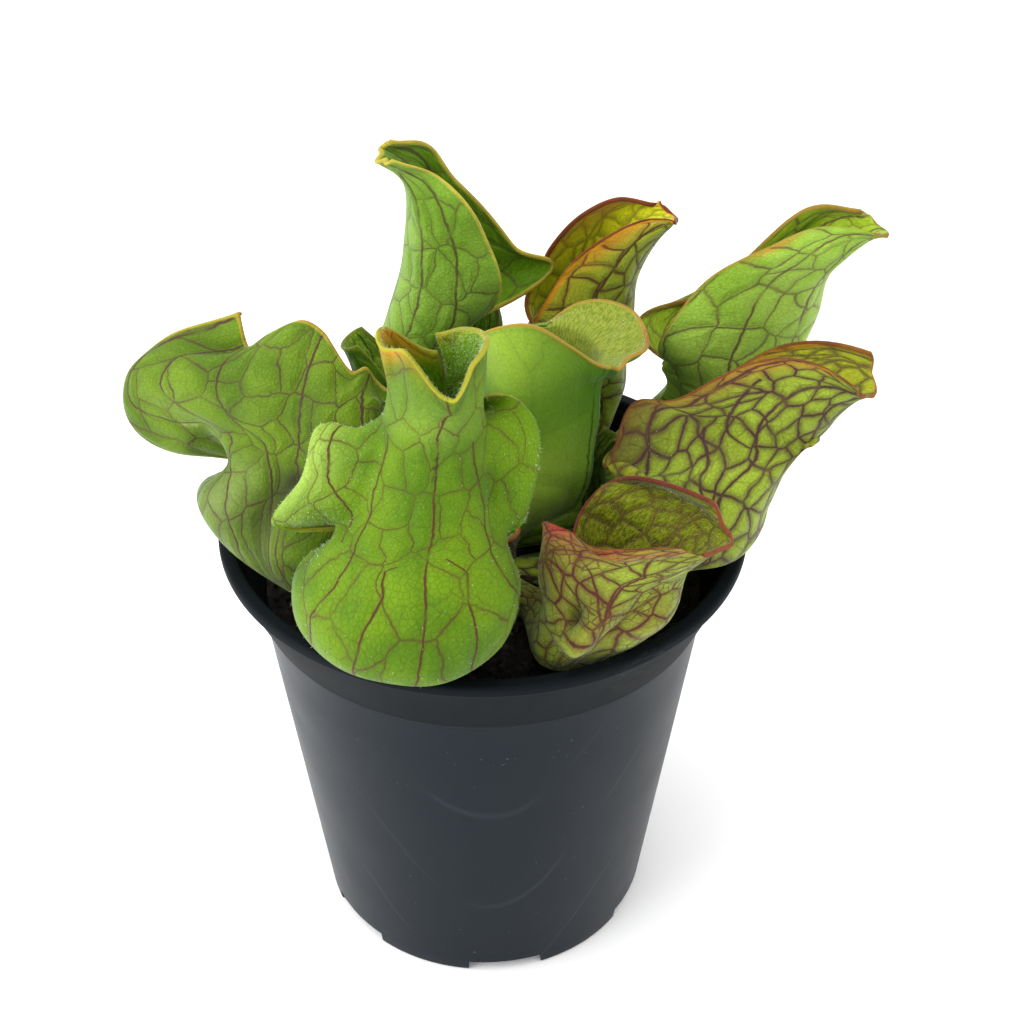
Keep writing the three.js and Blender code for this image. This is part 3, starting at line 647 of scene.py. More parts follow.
def shaped(plant, grid, u, t, closed):
    """The face with its dents and swellings: each a place, a spread and a height."""
    normals = outward_normals(grid, closed)
    height = np.zeros(grid.shape[:2])
    for at_u, at_t, spread_u, spread_t, lift in plant["dents"]:
        fall = ((u[:, None] - at_u) / spread_u) ** 2 + ((t[None, :] - at_t) / spread_t) ** 2
        height += lift * np.exp(-fall)
    across, along = flat_lengths(grid, t)
    ripple = np.sin(across / 5.1 + along / 8.3) * np.sin(along / 6.7 - across / 9.4)
    above_stalk = smooth((u[:, None] - 2) / 2)
    off_margin = 1 - smooth((np.abs(t[None, :]) - 0.85) / 0.15)
    height += RIPPLE * ripple * above_stalk * off_margin
    return grid + normals * height[..., None]


def rib_distances(plant, u, t, across):
    """How far each point is across from each of the leaf's ribs, six ribs in two sets of three."""
    result = np.full((*across.shape, 6), 99.0)
    for index, path in enumerate(plant["ribs"]):
        rows, turns = zip(*path)
        for row, turn in enumerate(np.interp(u, rows, turns)):
            if rows[0] <= u[row] <= rows[-1]:
                result[row, :, index] = across[row] - np.interp(turn, t, across[row])
    return result[..., :3], result[..., 3:]


def down_here(plant, u, t):
    """How thick the down is on the outer face and on the lining."""
    result = np.zeros((2, len(u), len(t)))
    for side, at_u, at_t, spread_u, spread_t, strength in plant["down"]:
        fall = ((u[:, None] - at_u) / spread_u) ** 2 + ((t[None, :] - at_t) / spread_t) ** 2
        result[side] = np.maximum(result[side], strength * np.exp(-fall))
    return result


def tints(plant, u, t):
    """Three coloured patches: blush, pale and dark. Each spot is a place, a spread and a strength."""
    result = np.zeros((len(u), len(t), 3))
    for kind, at_u, at_t, spread_u, spread_t, strength in plant["spots"]:
        fall = ((u[:, None] - at_u) / spread_u) ** 2 + ((t[None, :] - at_t) / spread_t) ** 2
        result[..., kind] += strength * np.exp(-fall)
    return np.clip(result, 0, 1)


def columns_of(count):
    """Columns from margin to margin, closer together near the margins."""
    even = np.linspace(-1, 1, count)
    return np.sign(even) * (1 - (1 - np.abs(even)) ** MARGIN_CROWDING)


def leaf_mesh(name, plant, per_level, count):
    """A leaf as one closed blade with an outer face, a lining and a rounded margin."""
    last = len(plant["levels"]) - 1
    rows = last * per_level + 1
    u = np.linspace(0, last, rows)
    t = columns_of(count)
    closed = u <= plant["mouth"] + 1e-9
    outer = shaped(plant, outer_face(plant, u, t), u, t, closed)
    normals = outward_normals(outer, closed)
    across, along = flat_lengths(outer, t)
    to_edge = margin_distance(plant, u, across, along)
    inner = outer - BLADE * normals
    roll = ROLL * np.clip(1 - to_edge / MARGIN_ROLL_REACH, 0, 1) ** 2
    outer = outer + roll[..., None] * normals

    start = per_level + 1
    number = np.arange(rows * count).reshape(rows, count)
    number[closed, -1] = number[closed, 0]
    lining = number + rows * count

    points = [outer.reshape(-1, 3), inner.reshape(-1, 3)]
    marks = net_places(across, along, plant["fan"]).reshape(-1, 3)
    ribs, more_ribs = (part.reshape(-1, 3) for part in rib_distances(plant, u, t, across))
    down = down_here(plant, u, t).reshape(2, -1, 1)
    zero = np.zeros(rows * count)
    places = [np.stack([to_edge.ravel(), zero + inside, zero], -1) for inside in (0, 1)]
    nets = [marks, marks]
    tint = tints(plant, u, t).reshape(-1, 3)
    colours = [tint, tint]

    def quads(table, turned):
        corners = [table[:-1, :-1], table[:-1, 1:], table[1:, 1:], table[1:, :-1]]
        faces = np.stack(corners, -1).reshape(-1, 4)
        return faces[:, ::-1] if turned else faces

    faces = [quads(number, False), quads(lining[start:], True)]
    border = margin_path(closed, number, rows, count)
    away = margin_outward(outer, border, closed, rows, count)
    flat_outer, flat_inner = points
    ridge = (flat_outer[border] + flat_inner[border]) / 2 + away * BLADE * MARGIN_BULGE
    first_ridge = 2 * rows * count
    ridge_number = first_ridge + np.arange(len(border))
    points.append(ridge)
    nets.append(marks[border])
    places.append(places[0][border])
    colours.append(tint[border])
    bare = np.zeros((len(border), 1))
    pairs = [(number.ravel()[border], ridge_number), (ridge_number, lining.ravel()[border])]
    for near, far in pairs:
        faces.append(np.stack([near[:-1], near[1:], far[1:], far[:-1]], -1))
    ends = [number[0, :-1][::-1].tolist(), lining[start, :-1].tolist()]
    faces = np.concatenate(faces).tolist() + ends
    return build_mesh(name, np.concatenate(points), faces, {
        "net": np.concatenate(nets), "place": np.concatenate(places), "tint": np.concatenate(colours),
        "ribs": np.concatenate([ribs, ribs, ribs[border]]),
        "more_ribs": np.concatenate([more_ribs, more_ribs, more_ribs[border]]),
        "downy": np.concatenate([down[0], down[1], bare]),
    })


def margin_path(closed, number, rows, count):
    """The margin's points in order: up the left side, over the top and down the right side."""
    side = [row for row in range(rows) if not closed[row]]
    if not side:
        return np.concatenate([number[-1, :-1], number[-1, :1]])
    mouth = number[side[0] - 1, 0]
    left = [row * count for row in side[:-1]]
    top = [(rows - 1) * count + column for column in range(count)]
    right = [row * count + count - 1 for row in reversed(side[:-1])]
    return np.array([mouth, *left, *top, *right, mouth])


def margin_outward(grid, border, closed, rows, count):
    """The way out of the leaf at each point of its margin, in the leaf's own surface."""
    row, column = np.divmod(border, count)
    top = row == rows - 1
    middle = (column > 0) & (column < count - 1)
    upright = closed[row] | (top & middle)
    below = np.where(top | closed[row], row - 1, row)
    inward = np.where(upright, column, np.clip(column, 1, count - 2))
    return unit(grid[row, column] - grid[below, inward])


def build_mesh(name, points, faces, attributes):
    """A mesh object at the origin from points in millimetres, with a vector on each point."""
    used, flat = np.unique(np.concatenate([np.ravel(face) for face in faces]), return_inverse=True)
    sizes = [len(face) for face in faces]
    splits = np.split(flat, np.cumsum(sizes)[:-1])
    clean = [[int(v) for v in dict.fromkeys(face.tolist())] for face in splits]
    mesh = bpy.data.meshes.new(name)
    mesh.from_pydata((points[used] * MM).tolist(), [], [face for face in clean if len(face) > 2])
    for key, values in attributes.items():
        wide = values.shape[1] == 3
        made = mesh.attributes.new(key, "FLOAT_VECTOR" if wide else "FLOAT", "POINT")
        made.data.foreach_set("vector" if wide else "value", values[used].astype(np.float32).ravel())
    mesh.shade_smooth()
    mesh.validate()
    piece = bpy.data.objects.new(name, mesh)
    bpy.context.scene.collection.objects.link(piece)
    return piece


# Hairs and crumbs

def grow_tree(name, sizes):
    """An empty node tree with a mesh, a density and sizes coming in, and a mesh going out."""
    tree = bpy.data.node_groups.new(name, "GeometryNodeTree")
    tree.interface.new_socket("Mesh", in_out="INPUT", socket_type="NodeSocketGeometry")
    for key, value in sizes.items():
        socket = tree.interface.new_socket(key, in_out="INPUT", socket_type="NodeSocketFloat")
        socket.default_value = value
    tree.interface.new_socket("Mesh", in_out="OUTPUT", socket_type="NodeSocketGeometry")
    start = tree.nodes.new("NodeGroupInput")
    end = tree.nodes.new("NodeGroupOutput")
    return tree, start, end


def applied(host, tree, sizes, name, material):
    """The plain mesh that a tree makes of a host object."""
    modifier = host.modifiers.new("grown", "NODES")
    modifier.node_group = tree
    for item in tree.interface.items_tree:
        if item.in_out == "INPUT" and item.name in sizes:
            modifier[item.identifier] = sizes[item.name]
    bpy.context.view_layer.update()
    shown = host.evaluated_get(bpy.context.evaluated_depsgraph_get())
    mesh = bpy.data.meshes.new_from_object(shown)
    host.modifiers.remove(modifier)
    mesh.name = name
    mesh.materials.clear()
    mesh.materials.append(material)
    piece = bpy.data.objects.new(name, mesh)
    bpy.context.scene.collection.objects.link(piece)
    return piece


def hair_form(tree, start):
    """A thin three-sided cone."""
    form = tree.nodes.new("GeometryNodeMeshCone")
    form.inputs["Vertices"].default_value = 3
    form.inputs["Radius Top"].default_value = 0.0
    tree.links.new(start.outputs["Width"], form.inputs["Radius Bottom"])
    tree.links.new(start.outputs["Length"], form.inputs["Depth"])
    return form


def crumb_form(tree, start):
    """A round lump of 20 faces."""
    form = tree.nodes.new("GeometryNodeMeshIcoSphere")
    form.inputs["Subdivisions"].default_value = 1
    tree.links.new(start.outputs["Length"], form.inputs["Radius"])
    return form


def random_vector(tree, low, high, seed):
    draw = tree.nodes.new("FunctionNodeRandomValue")
    draw.data_type = "FLOAT_VECTOR"
    draw.inputs["Min"].default_value = low
    draw.inputs["Max"].default_value = high
    draw.inputs["Seed"].default_value = seed
    return draw.outputs["Value"]


def finished_tree(tree, geometry, end, material):
    """Makes every copy real and gives it its material, where the tree ends."""
    whole = tree.nodes.new("GeometryNodeRealizeInstances")
    tree.links.new(geometry, whole.inputs["Geometry"])
    coat = tree.nodes.new("GeometryNodeSetMaterial")
    coat.inputs["Material"].default_value = material
    tree.links.new(whole.outputs["Geometry"], coat.inputs["Geometry"])
    tree.links.new(coat.outputs["Geometry"], end.inputs["Mesh"])


def scattered(name, host, material, sizes, form_of, scales, lean, seed, where):
    """Small forms spread over a host mesh, as thick as its attribute where says."""
    tree, start, end = grow_tree(name, sizes)
    add = tree.nodes.new
    link = tree.links.new
    share = add("GeometryNodeInputNamedAttribute")
    share.data_type = "FLOAT"
    share.inputs["Name"].default_value = where
    density = add("ShaderNodeMath")
    density.operation = "MULTIPLY"
    link(share.outputs["Attribute"], density.inputs[0])
    link(start.outputs["Density"], density.inputs[1])
    spread = add("GeometryNodeDistributePointsOnFaces")
    spread.distribute_method = "RANDOM"
    spread.inputs["Seed"].default_value = seed
    link(start.outputs["Mesh"], spread.inputs["Mesh"])
    link(density.outputs[0], spread.inputs["Density"])
    turned = add("FunctionNodeRotateEuler")
    turned.rotation_type = "EULER"
    turned.space = "LOCAL"
    link(spread.outputs["Rotation"], turned.inputs["Rotation"])
    lean_by = random_vector(tree, (-lean, -lean, 0.0), (lean, lean, FULL_TURN), seed + 1)
    link(lean_by, turned.inputs["Rotate By"])
    put = add("GeometryNodeInstanceOnPoints")
    link(spread.outputs["Points"], put.inputs["Points"])
    link(form_of(tree, start).outputs["Mesh"], put.inputs["Instance"])
    link(turned.outputs["Rotation"], put.inputs["Rotation"])
    link(random_vector(tree, *scales, seed + 2), put.inputs["Scale"])
    finished_tree(tree, put.outputs["Instances"], end, material)
    return applied(host, tree, sizes, name, material)


# Pot and soil

def wall_radius(height):
    return BASE_RADIUS + (COLLAR_FOOT_RADIUS - COLLAR_STEP - BASE_RADIUS) * height / COLLAR_BOTTOM


def rounded(corners):
    """A profile whose corners, each with a radius, are turned into small arcs."""
    result = []
    last = len(corners) - 1
    for index, (r, z, radius) in enumerate(corners):
        here = np.array([r, z])
        if index in (0, last) or radius == 0:
            result.append(here)
            continue
        before = np.array(corners[index - 1][:2]) - here
        after = np.array(corners[index + 1][:2]) - here
        shorter = min(np.linalg.norm(before), np.linalg.norm(after))
        reach = min(radius, shorter * CORNER_SHARE)
        start = here + unit(before) * reach
        end = here + unit(after) * reach
        for step in np.linspace(0, 1, ARC_STEPS):
            result.append((1 - step) ** 2 * start + 2 * step * (1 - step) * here + step ** 2 * end)
    return result


def turned_mesh(name, profile, segments):
    """A closed profile turned about the pot's axis, with one point at each pole."""
    points, rings = [], []
    angles = np.linspace(0, 2 * math.pi, segments, endpoint=False)
    for r, z in profile:
        first = len(points)
        if r < 1e-6:
            points.append((0.0, 0.0, z * MM))
            rings.append([first] * segments)
            continue
        points.extend((r * math.cos(a) * MM, r * math.sin(a) * MM, z * MM) for a in angles)
        rings.append(list(range(first, first + segments)))
    faces = []
    for low, high in zip(rings, rings[1:]):
        for i in range(segments):
            j = (i + 1) % segments
            face = list(dict.fromkeys([low[i], low[j], high[j], high[i]]))
            if len(face) > 2:
                faces.append(face)
    mesh = bpy.data.meshes.new(name)
    mesh.from_pydata(points, [], faces)
    mesh.shade_smooth()
    mesh.set_sharp_from_angle(angle=SHARP_ANGLE)
    piece = bpy.data.objects.new(name, mesh)
    bpy.context.scene.collection.objects.link(piece)
    return piece


def pot_profile():
    """From the middle of the underside, out and up the wall, over the lip and down inside."""
    shoulder = COLLAR_BOTTOM - 1
    floor_top = FLOOR_HEIGHT + FLOOR_THICKNESS
    inner_rim = RIM_RADIUS - RIM_WIDTH
    return rounded([
        (0, 0, 0),
        (CENTRE_PAD_RADIUS, 0, 0.5),
        (CENTRE_PAD_RADIUS + 1, FLOOR_HEIGHT, 0.5),
        (BASE_RADIUS - FOOT_WIDTH, FLOOR_HEIGHT, 0.4),
        (BASE_RADIUS - FOOT_WIDTH, 0, 0.5),
        (BASE_RADIUS, 0, 1.0),
        *((wall_radius(height), height, 0) for height in WALL_RINGS),
        (wall_radius(shoulder), shoulder, 0.4),
        (COLLAR_FOOT_RADIUS, COLLAR_BOTTOM, 0.5),
        (COLLAR_FOOT_RADIUS + 0.4, COLLAR_BOTTOM + 1.2, 0.5),
        (RIM_RADIUS - 1.2, POT_HEIGHT - 3.2, 0.7),
        (RIM_RADIUS, POT_HEIGHT - 2.6, 0.5),
        (RIM_RADIUS, POT_HEIGHT, 1.5),
        (inner_rim, POT_HEIGHT, 1.2),
        (inner_rim - 0.6, POT_HEIGHT - RIM_EDGE, 0.5),
        (COLLAR_FOOT_RADIUS - WALL, COLLAR_BOTTOM + 1.2, 0.6),
        (wall_radius(shoulder) - WALL, shoulder, 0.4),
        (wall_radius(floor_top) - WALL, floor_top, 1.5),
        (0, floor_top, 0),
    ])


def ring_of(tree, shape, radius, count, turn):
    """A shape repeated round the pot's axis."""
    add = tree.nodes.new
    link = tree.links.new
    circle = add("GeometryNodeMeshCircle")
    circle.inputs["Vertices"].default_value = count
    circle.inputs["Radius"].default_value = radius
    index = add("GeometryNodeInputIndex")
    turned = add("ShaderNodeMath")
    turned.operation = "MULTIPLY_ADD"
    turned.inputs[1].default_value = 2 * math.pi / count
    turned.inputs[2].default_value = 0.0
    link(index.outputs[0], turned.inputs[0])
    way = add("ShaderNodeCombineXYZ")
    link(turned.outputs[0], way.inputs["Z"])
    put = add("GeometryNodeInstanceOnPoints")
    link(circle.outputs["Mesh"], put.inputs["Points"])
    link(shape, put.inputs["Instance"])
    link(way.outputs[0], put.inputs["Rotation"])
    whole = add("GeometryNodeRealizeInstances")
    link(put.outputs["Instances"], whole.inputs["Geometry"])
    placed = add("GeometryNodeTransform")
    placed.inputs["Rotation"].default_value = (0.0, 0.0, turn)
    link(whole.outputs["Geometry"], placed.inputs["Geometry"])
    return placed.outputs["Geometry"]


def pot(material):
    """The turned pot, with the gaps between its feet and its drain holes cut."""
    body = turned_mesh("turned_pot", pot_profile(), POT_SEGMENTS)
    foot_radius = BASE_RADIUS - FOOT_WIDTH / 2
    width = 2 * foot_radius * math.sin(math.radians(NOTCH_ANGLE / 2))
    sizes = {
        "Notch width": width * MM, "Notch height": 2 * FLOOR_HEIGHT * MM,
        "Notch depth": 3 * FOOT_WIDTH * MM,
        "Hole radius": DRAIN_RADIUS * MM, "Hole depth": 6 * FLOOR_THICKNESS * MM,
    }
    tree, start, end = grow_tree("pot cuts", sizes)
    add = tree.nodes.new
    link = tree.links.new
    block = add("GeometryNodeMeshCube")
    size = add("ShaderNodeCombineXYZ")
    for key, axis in (("Notch depth", "X"), ("Notch width", "Y"), ("Notch height", "Z")):
        link(start.outputs[key], size.inputs[axis])
    link(size.outputs[0], block.inputs["Size"])
    drill = add("GeometryNodeMeshCylinder")
    drill.inputs["Vertices"].default_value = HOLE_SEGMENTS
    link(start.outputs["Hole radius"], drill.inputs["Radius"])
    link(start.outputs["Hole depth"], drill.inputs["Depth"])
    turn = math.radians(NOTCH_TURN)
    gaps = ring_of(tree, block.outputs["Mesh"], foot_radius * MM, FOOT_COUNT, turn)
    holes = ring_of(tree, drill.outputs["Mesh"], DRAIN_RING * MM, FOOT_COUNT, turn)
    lifted = add("GeometryNodeTransform")
    lifted.inputs["Translation"].default_value = (0.0, 0.0, (FLOOR_HEIGHT + FLOOR_THICKNESS / 2) * MM)
    link(holes, lifted.inputs["Geometry"])
    cut = add("GeometryNodeMeshBoolean")
    cut.operation = "DIFFERENCE"
    cut.solver = "EXACT"
    link(start.outputs["Mesh"], cut.inputs["Mesh 1"])
    link(gaps, cut.inputs["Mesh 2"])
    link(lifted.outputs["Geometry"], cut.inputs["Mesh 2"])
    finished_tree(tree, cut.outputs["Mesh"], end, material)
    piece = applied(body, tree, sizes, "fine_pot", material)
    piece.data.shade_smooth()
    piece.data.set_sharp_from_angle(angle=SHARP_ANGLE)
    bpy.data.objects.remove(body)
    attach(piece, "root")
    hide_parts("pot")


def crumbs(material):
    """Peat crumbs and lumps that lie on the soil, clear of the crown."""
    radii = [0.0, *np.linspace(4, SOIL_RADIUS - BED_MARGIN, BED_RINGS)]
    bed = turned_mesh("bed", [(radius, SOIL_TOP - BED_DROP) for radius in radii], BED_SEGMENTS)
    clear = []
    for vertex in bed.data.vertices:
        gap = math.hypot(vertex.co.x / MM - CROWN_X, vertex.co.y / MM - CROWN_Y) - CROWN_RADIUS
        clear.append(1.0 if gap > CRUMB_CLEARANCE else 0.0)
    bed.data.attributes.new("clear", "FLOAT", "POINT").data.foreach_set("value", clear)
    for name, density, size, seed in CRUMBS:
        sizes = {"Density": density, "Length": size * MM}
        piece = scattered(
            name, bed, material, sizes, crumb_form, CRUMB_SCALES, CRUMB_LEAN, seed, "clear",
        )
        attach(piece, "root")
    bpy.data.objects.remove(bed)


# Leaves

# Kinds of coloured spots.
BLUSH = 0
PALE = 1
DEEP = 2

# The rib paths of a leaf that has none of its own: places along and across.
PLAIN_RIBS = [
    [(0, 0), (20, 0)],
    [(0, -0.2), (5, -0.28), (9, -0.42), (13, -0.6)],
    [(0, 0.2), (5, 0.28), (9, 0.42), (13, 0.6)],
    [(0, -0.4), (5, -0.55), (9, -0.72), (13, -0.85)],
    [(0, 0.4), (5, 0.55), (9, 0.72), (13, 0.85)],
]


def level(place, face, tip, wide, deep, wrap=180, flare=0, back=0, rise=0):
    """One cross-section: its place, the way it faces, its tilt, and its sizes left and right."""
    row = [*place, face, tip, deep]
    for value in (wide, wrap, flare, back, rise):
        row.extend(value if isinstance(value, tuple) else (value, value))
    return row


def leaf_plan(levels, mouth=6, hinge=0.5, wave=(0, 0, 0), lobes=(), dents=(), spots=(),
              ribs=PLAIN_RIBS, down=(), fan=0.8):
    """A leaf's levels, and what stands, dips, colours or grows where.

    Lobes raise or push out the top edge: place across, width, height, reach.
    Dents and spots lie at a place along and across, with a spread along and across.
    Ribs are paths of places along and across. Down lies on face 0, the skin, or 1, the lining.
    Fan is how evenly the net of veins spreads with the blade.
    """
    return {
        "levels": levels, "mouth": mouth, "hinge": hinge, "wave": wave, "lobes": lobes,
        "dents": dents, "spots": spots, "ribs": ribs, "down": down, "fan": fan,
    }


def front_pitcher():
    """The green pitcher in front: a round belly, a tube with a wavy lip, and an ear on each side."""
    return leaf_plan([
        level((-6, -7, 103), -110, 80, 2.5, 5),
        level((-8, -22, 102), -100, 80, 6, 10),
        level((-11, -38, 104), -98, 68, 17, 26),
        level((-15, -49, 116.5), -97, 43, (24, 22), 26),
        level((-16.5, -63.5, 122), -96, 25, (26, 22), 36),
        level((-17, -74, 130), -96, 13, (27, 22), 43),
        level((-16, -73, 143), -96, -2, (27, 22), 39),
        level((-14, -65, 154), -96, -18, (21, 18), 28),
        level((-11, -61, 161), -96, -15, (18, 13), 28,
              wrap=145, flare=(23, 8), back=(14, 10), rise=(-6, -4)),
        level((-10, -58, 168), -96, -10, (16, 11), 25,
              wrap=145, flare=(19, 13), back=(12, 9), rise=(-3, 0)),
        level((-9, -56, 174), -96, -4, (14.5, 9.5), 22,
              wrap=150, flare=(18, 13), back=(9, 8), rise=(2, 5)),
        level((-8.5, -55.5, 178), -96, 0, (14, 8.5), 20,
              wrap=160, flare=(12, 8), back=(5, 6), rise=(-8, 5)),
        level((-8, -55, 181), -96, 0, (14, 7.5), 20, wrap=(168, 176), flare=(0, -2), rise=(-9, -6)),
        level((-6, -55, 188), -96, 0, (15, 5.5), 19, wrap=(168, 178), flare=(1.3, -3.8), rise=(-3, -2)),
        level((-6, -57, 200.5), -96, 0, (16, 6.5), 20, wrap=(170, 178), flare=(2.9, -6), rise=(-7, -6)),
    ],
        mouth=7, hinge=0.42, wave=(2, 0.4, 0),
        lobes=[
            (0, 0.19, -10, 0),
            (-0.42, 0.15, -2.8, 0),
            (-0.2, 0.1, 3.2, 0),
            (-0.72, 0.15, 1, 0),
            (-1, 0.16, -3.5, 0),
            (0.75, 0.18, 1.6, 0),
            (0.95, 0.3, -1, 0),
        ],
        dents=[
            (8.8, -0.47, 1.3, 0.05, -1.3),
            (8.8, 0.5, 1.3, 0.06, -1.3),
            (9.6, -0.75, 1.0, 0.13, 1.2),
            (9.6, 0.78, 1.0, 0.13, 1.2),
            (13.6, -0.2, 0.7, 0.06, 0.9),
            (13.8, -0.36, 0.6, 0.05, -0.8),
            (13.8, 0.22, 0.6, 0.06, -0.6),
        ],
        spots=[
            # Paler left ear: partly its pale down, partly painted light on the side that faces the lamp.
            (PALE, 9.2, -0.85, 1.6, 0.2, 0.75),
            (DEEP, 10.3, -0.02, 0.09, 0.012, 0.8),
            (DEEP, 9.9, -0.02, 0.09, 0.012, 0.9),
            (DEEP, 9.5, -0.02, 0.09, 0.012, 0.7),
            (PALE, 12.3, -0.1, 1.3, 0.5, 0.25),
            (BLUSH, 14, -0.7, 0.6, 0.32, 1),
            (BLUSH, 14, -0.3, 0.25, 0.12, 0.7),
            (BLUSH, 14, 0.9, 0.25, 0.14, 0.8),
            (BLUSH, 14.1, 0.3, 0.12, 0.6, 0.8),
        ],
        ribs=[
            [(0, 0), (5.2, 0.04), (6.5, 0.05), (9, -0.01), (14, -0.03)],
            [(0, -0.25), (5.7, -0.29), (6.5, -0.25), (7.1, -0.24), (7.7, -0.31), (8.6, -0.38),
             (9.7, -0.38), (11, -0.35)],
            [(0, 0.3), (5, 0.47), (5.9, 0.44), (7.2, 0.34), (8.4, 0.39), (10, 0.3), (11, 0.28)],
            [(0, -0.1), (5.1, -0.14), (5.9, -0.11), (6.5, -0.08), (6.9, -0.1), (7.1, -0.03)],
            [(0, 0.15), (5.6, 0.23), (6.4, 0.2), (6.9, 0.2), (7.3, 0.1)],
            [(7.2, -0.36), (8, -0.52), (9, -0.68), (10, -0.74), (11, -0.76)],
        ],
        down=[
            (0, 8.5, -0.85, 3, 0.35, 0.8),
            (0, 9, 0.85, 3, 0.3, 0.5),
            (0, 6, 0, 4, 1.5, 0.03),
            (1, 13.5, 0.6, 1.6, 0.9, 2),
        ])


def left_pitcher():
    """The wide green pitcher at the left, with a kidney-shaped hood and a deep fold below it, darkened
    with painted shade.
    """
    return leaf_plan([
        level((-11.2, 0.4, 103), -166, 80, 2.5, 5),
        level((-24, -4, 103), -155, 80, 6, 10),
        level((-37, -13, 107), -140, 62, (15, 12), 22),
        level((-46, -25, 115), -128, 45, (23, 14), 30),
        level((-51, -30, 128), -120, 15, (26, 16), 31),
        level((-50, -29, 139), -116, -15, (24, 18), 28),
        level((-45, -23, 147), -114, -35, (20, 16), 24),
        level((-42, -19, 151), -112, -20, (33, 17), 20, wrap=(95, 130), rise=(-10, -6)),
        level((-41, -18, 155), -112, -12, (48, 17), 14, wrap=(95, 130), rise=(-12, -8)),
        level((-40, -18, 161), -112, -5, (49, 16), 10, wrap=(95, 130), rise=(-2, -9)),
        level((-38, -16, 169), -112, 0, (40, 15), 10, wrap=(95, 120), rise=(-1, -12)),
        level((-35, -14, 178), -112, 5, (25, 14), 10, wrap=(95, 110), rise=(-1, -20)),
    ],
        wave=(3, 0.8, 0),
        lobes=[(-0.6, 0.2, -8, 0), (-0.12, 0.15, 4, 0), (0.22, 0.12, -6, 0), (0.55, 0.2, -11, 0)],
        dents=[
            (5.3, -0.02, 1.3, 0.07, -3.6),
            (5.6, -0.3, 1.2, 0.1, 1.2),
            (9.2, -0.05, 1.6, 0.06, -0.9),
            (7.0, -0.62, 0.5, 0.12, -1.5),
        ],
        spots=[
            # Painted shade: the fold under the hood darkened along its channel.
            (DEEP, 6.1, 0.04, 0.5, 0.07, 0.85),
            (DEEP, 5.2, -0.02, 1.1, 0.06, 0.6),
            (PALE, 5.2, -0.2, 0.9, 0.1, 0.35),
            (DEEP, 4, -0.1, 1.6, 0.5, 0.25),
            (PALE, 7.17, -0.64, 0.07, 0.014, 1),
            (PALE, 7.3, -0.66, 0.05, 0.02, 1),
            (BLUSH, 10.2, -1, 0.9, 0.06, 0.7),
        ],
        ribs=[
            [(0, 0.1), (5.8, 0.07), (6.7, -0.01), (10, -0.03), (11, -0.02)],
            [(0, 0.02), (4.4, 0.02), (5.6, -0.04), (6.5, -0.12), (8, -0.24), (11, -0.42)],
            [(0, -0.1), (4.3, -0.1), (5.2, -0.17), (5.9, -0.28), (6.8, -0.34), (8.5, -0.52), (11, -0.66)],
            [(0, -0.3), (5.5, -0.34), (6.6, -0.44), (7.4, -0.66), (9, -0.82), (11, -0.9)],
            [(0, 0.3), (5, 0.3), (8, 0.38), (11, 0.42)],
            [(0, 0.55), (6, 0.6), (11, 0.7)],
        ])


def right_pitcher():
    """The olive pitcher at the right, with a dense dark net."""
    return leaf_plan([
        level((7.4, -3.9, 103), -28, 80, 2.5, 5),
        level((24, -8, 102), -16, 80, 6, 10),
        level((38, -11, 105), -17, 60, (12, 10), 20),
        level((50, -14, 116), -18, 50, (17, 12), 28),
        level((65, -16, 124), -18, 22, (21, 13), 36),
        level((68, -15, 133), -18, 5, (21, 10), 36),
        level((71, -14, 142), -18, 0, (18, 8), 38),
        level((76, -12, 148), -18, 0, (16, 7), 54, wrap=(130, 120), rise=(-7, -16)),
        level((81, -7, 149), -18, 8, (15, 7), 60, wrap=(120, 110), rise=(0, -18)),
        level((84, -7, 154), -18, 15, (13, 7), 50, wrap=(115, 105), rise=(-5, -15)),
        level((88, -6, 157), -18, 30, (10, 9), 34, wrap=(110, 105), rise=(2, -7)),
        level((91, -6, 158), -18, 50, (6, 8), 10, wrap=105, rise=(0, 2)),
    ],
        wave=(2, 0.7, 1), fan=0.3,
        dents=[(7.6, -0.55, 2, 0.1, 0.8), (9.6, -0.8, 0.8, 0.1, -0.9), (5.2, -0.45, 1, 0.12, 1)],
        spots=[
            (BLUSH, 10.3, -1, 0.9, 0.1, 0.85),
            (BLUSH, 10.5, 1, 0.9, 0.1, 0.85),
            (BLUSH, 8.4, -1, 1.1, 0.07, 0.5),
            (DEEP, 7.8, -0.98, 1.6, 0.12, 0.45),
        ],
        ribs=[
            [(0, -0.2), (5.7, -0.38), (7.5, -0.44), (9.2, -0.62), (9.8, -0.68), (11, -0.7)],
            [(5.7, -0.38), (6.7, -0.55), (7.1, -0.59), (8.2, -0.72)],
            [(7.6, -0.46), (8.1, -0.62), (9.7, -0.87)],
            [(0, 0), (5, -0.1), (8, -0.2), (10, -0.4), (11, -0.4)],
            [(0, -0.5), (5, -0.6), (6.5, -0.78), (8, -0.9), (11, -1)],
            [(0, 0.4), (6, 0.5), (11, 0.6)],
        ],
        down=[(0, 7.2, -0.85, 0.5, 0.06, 0.5)])


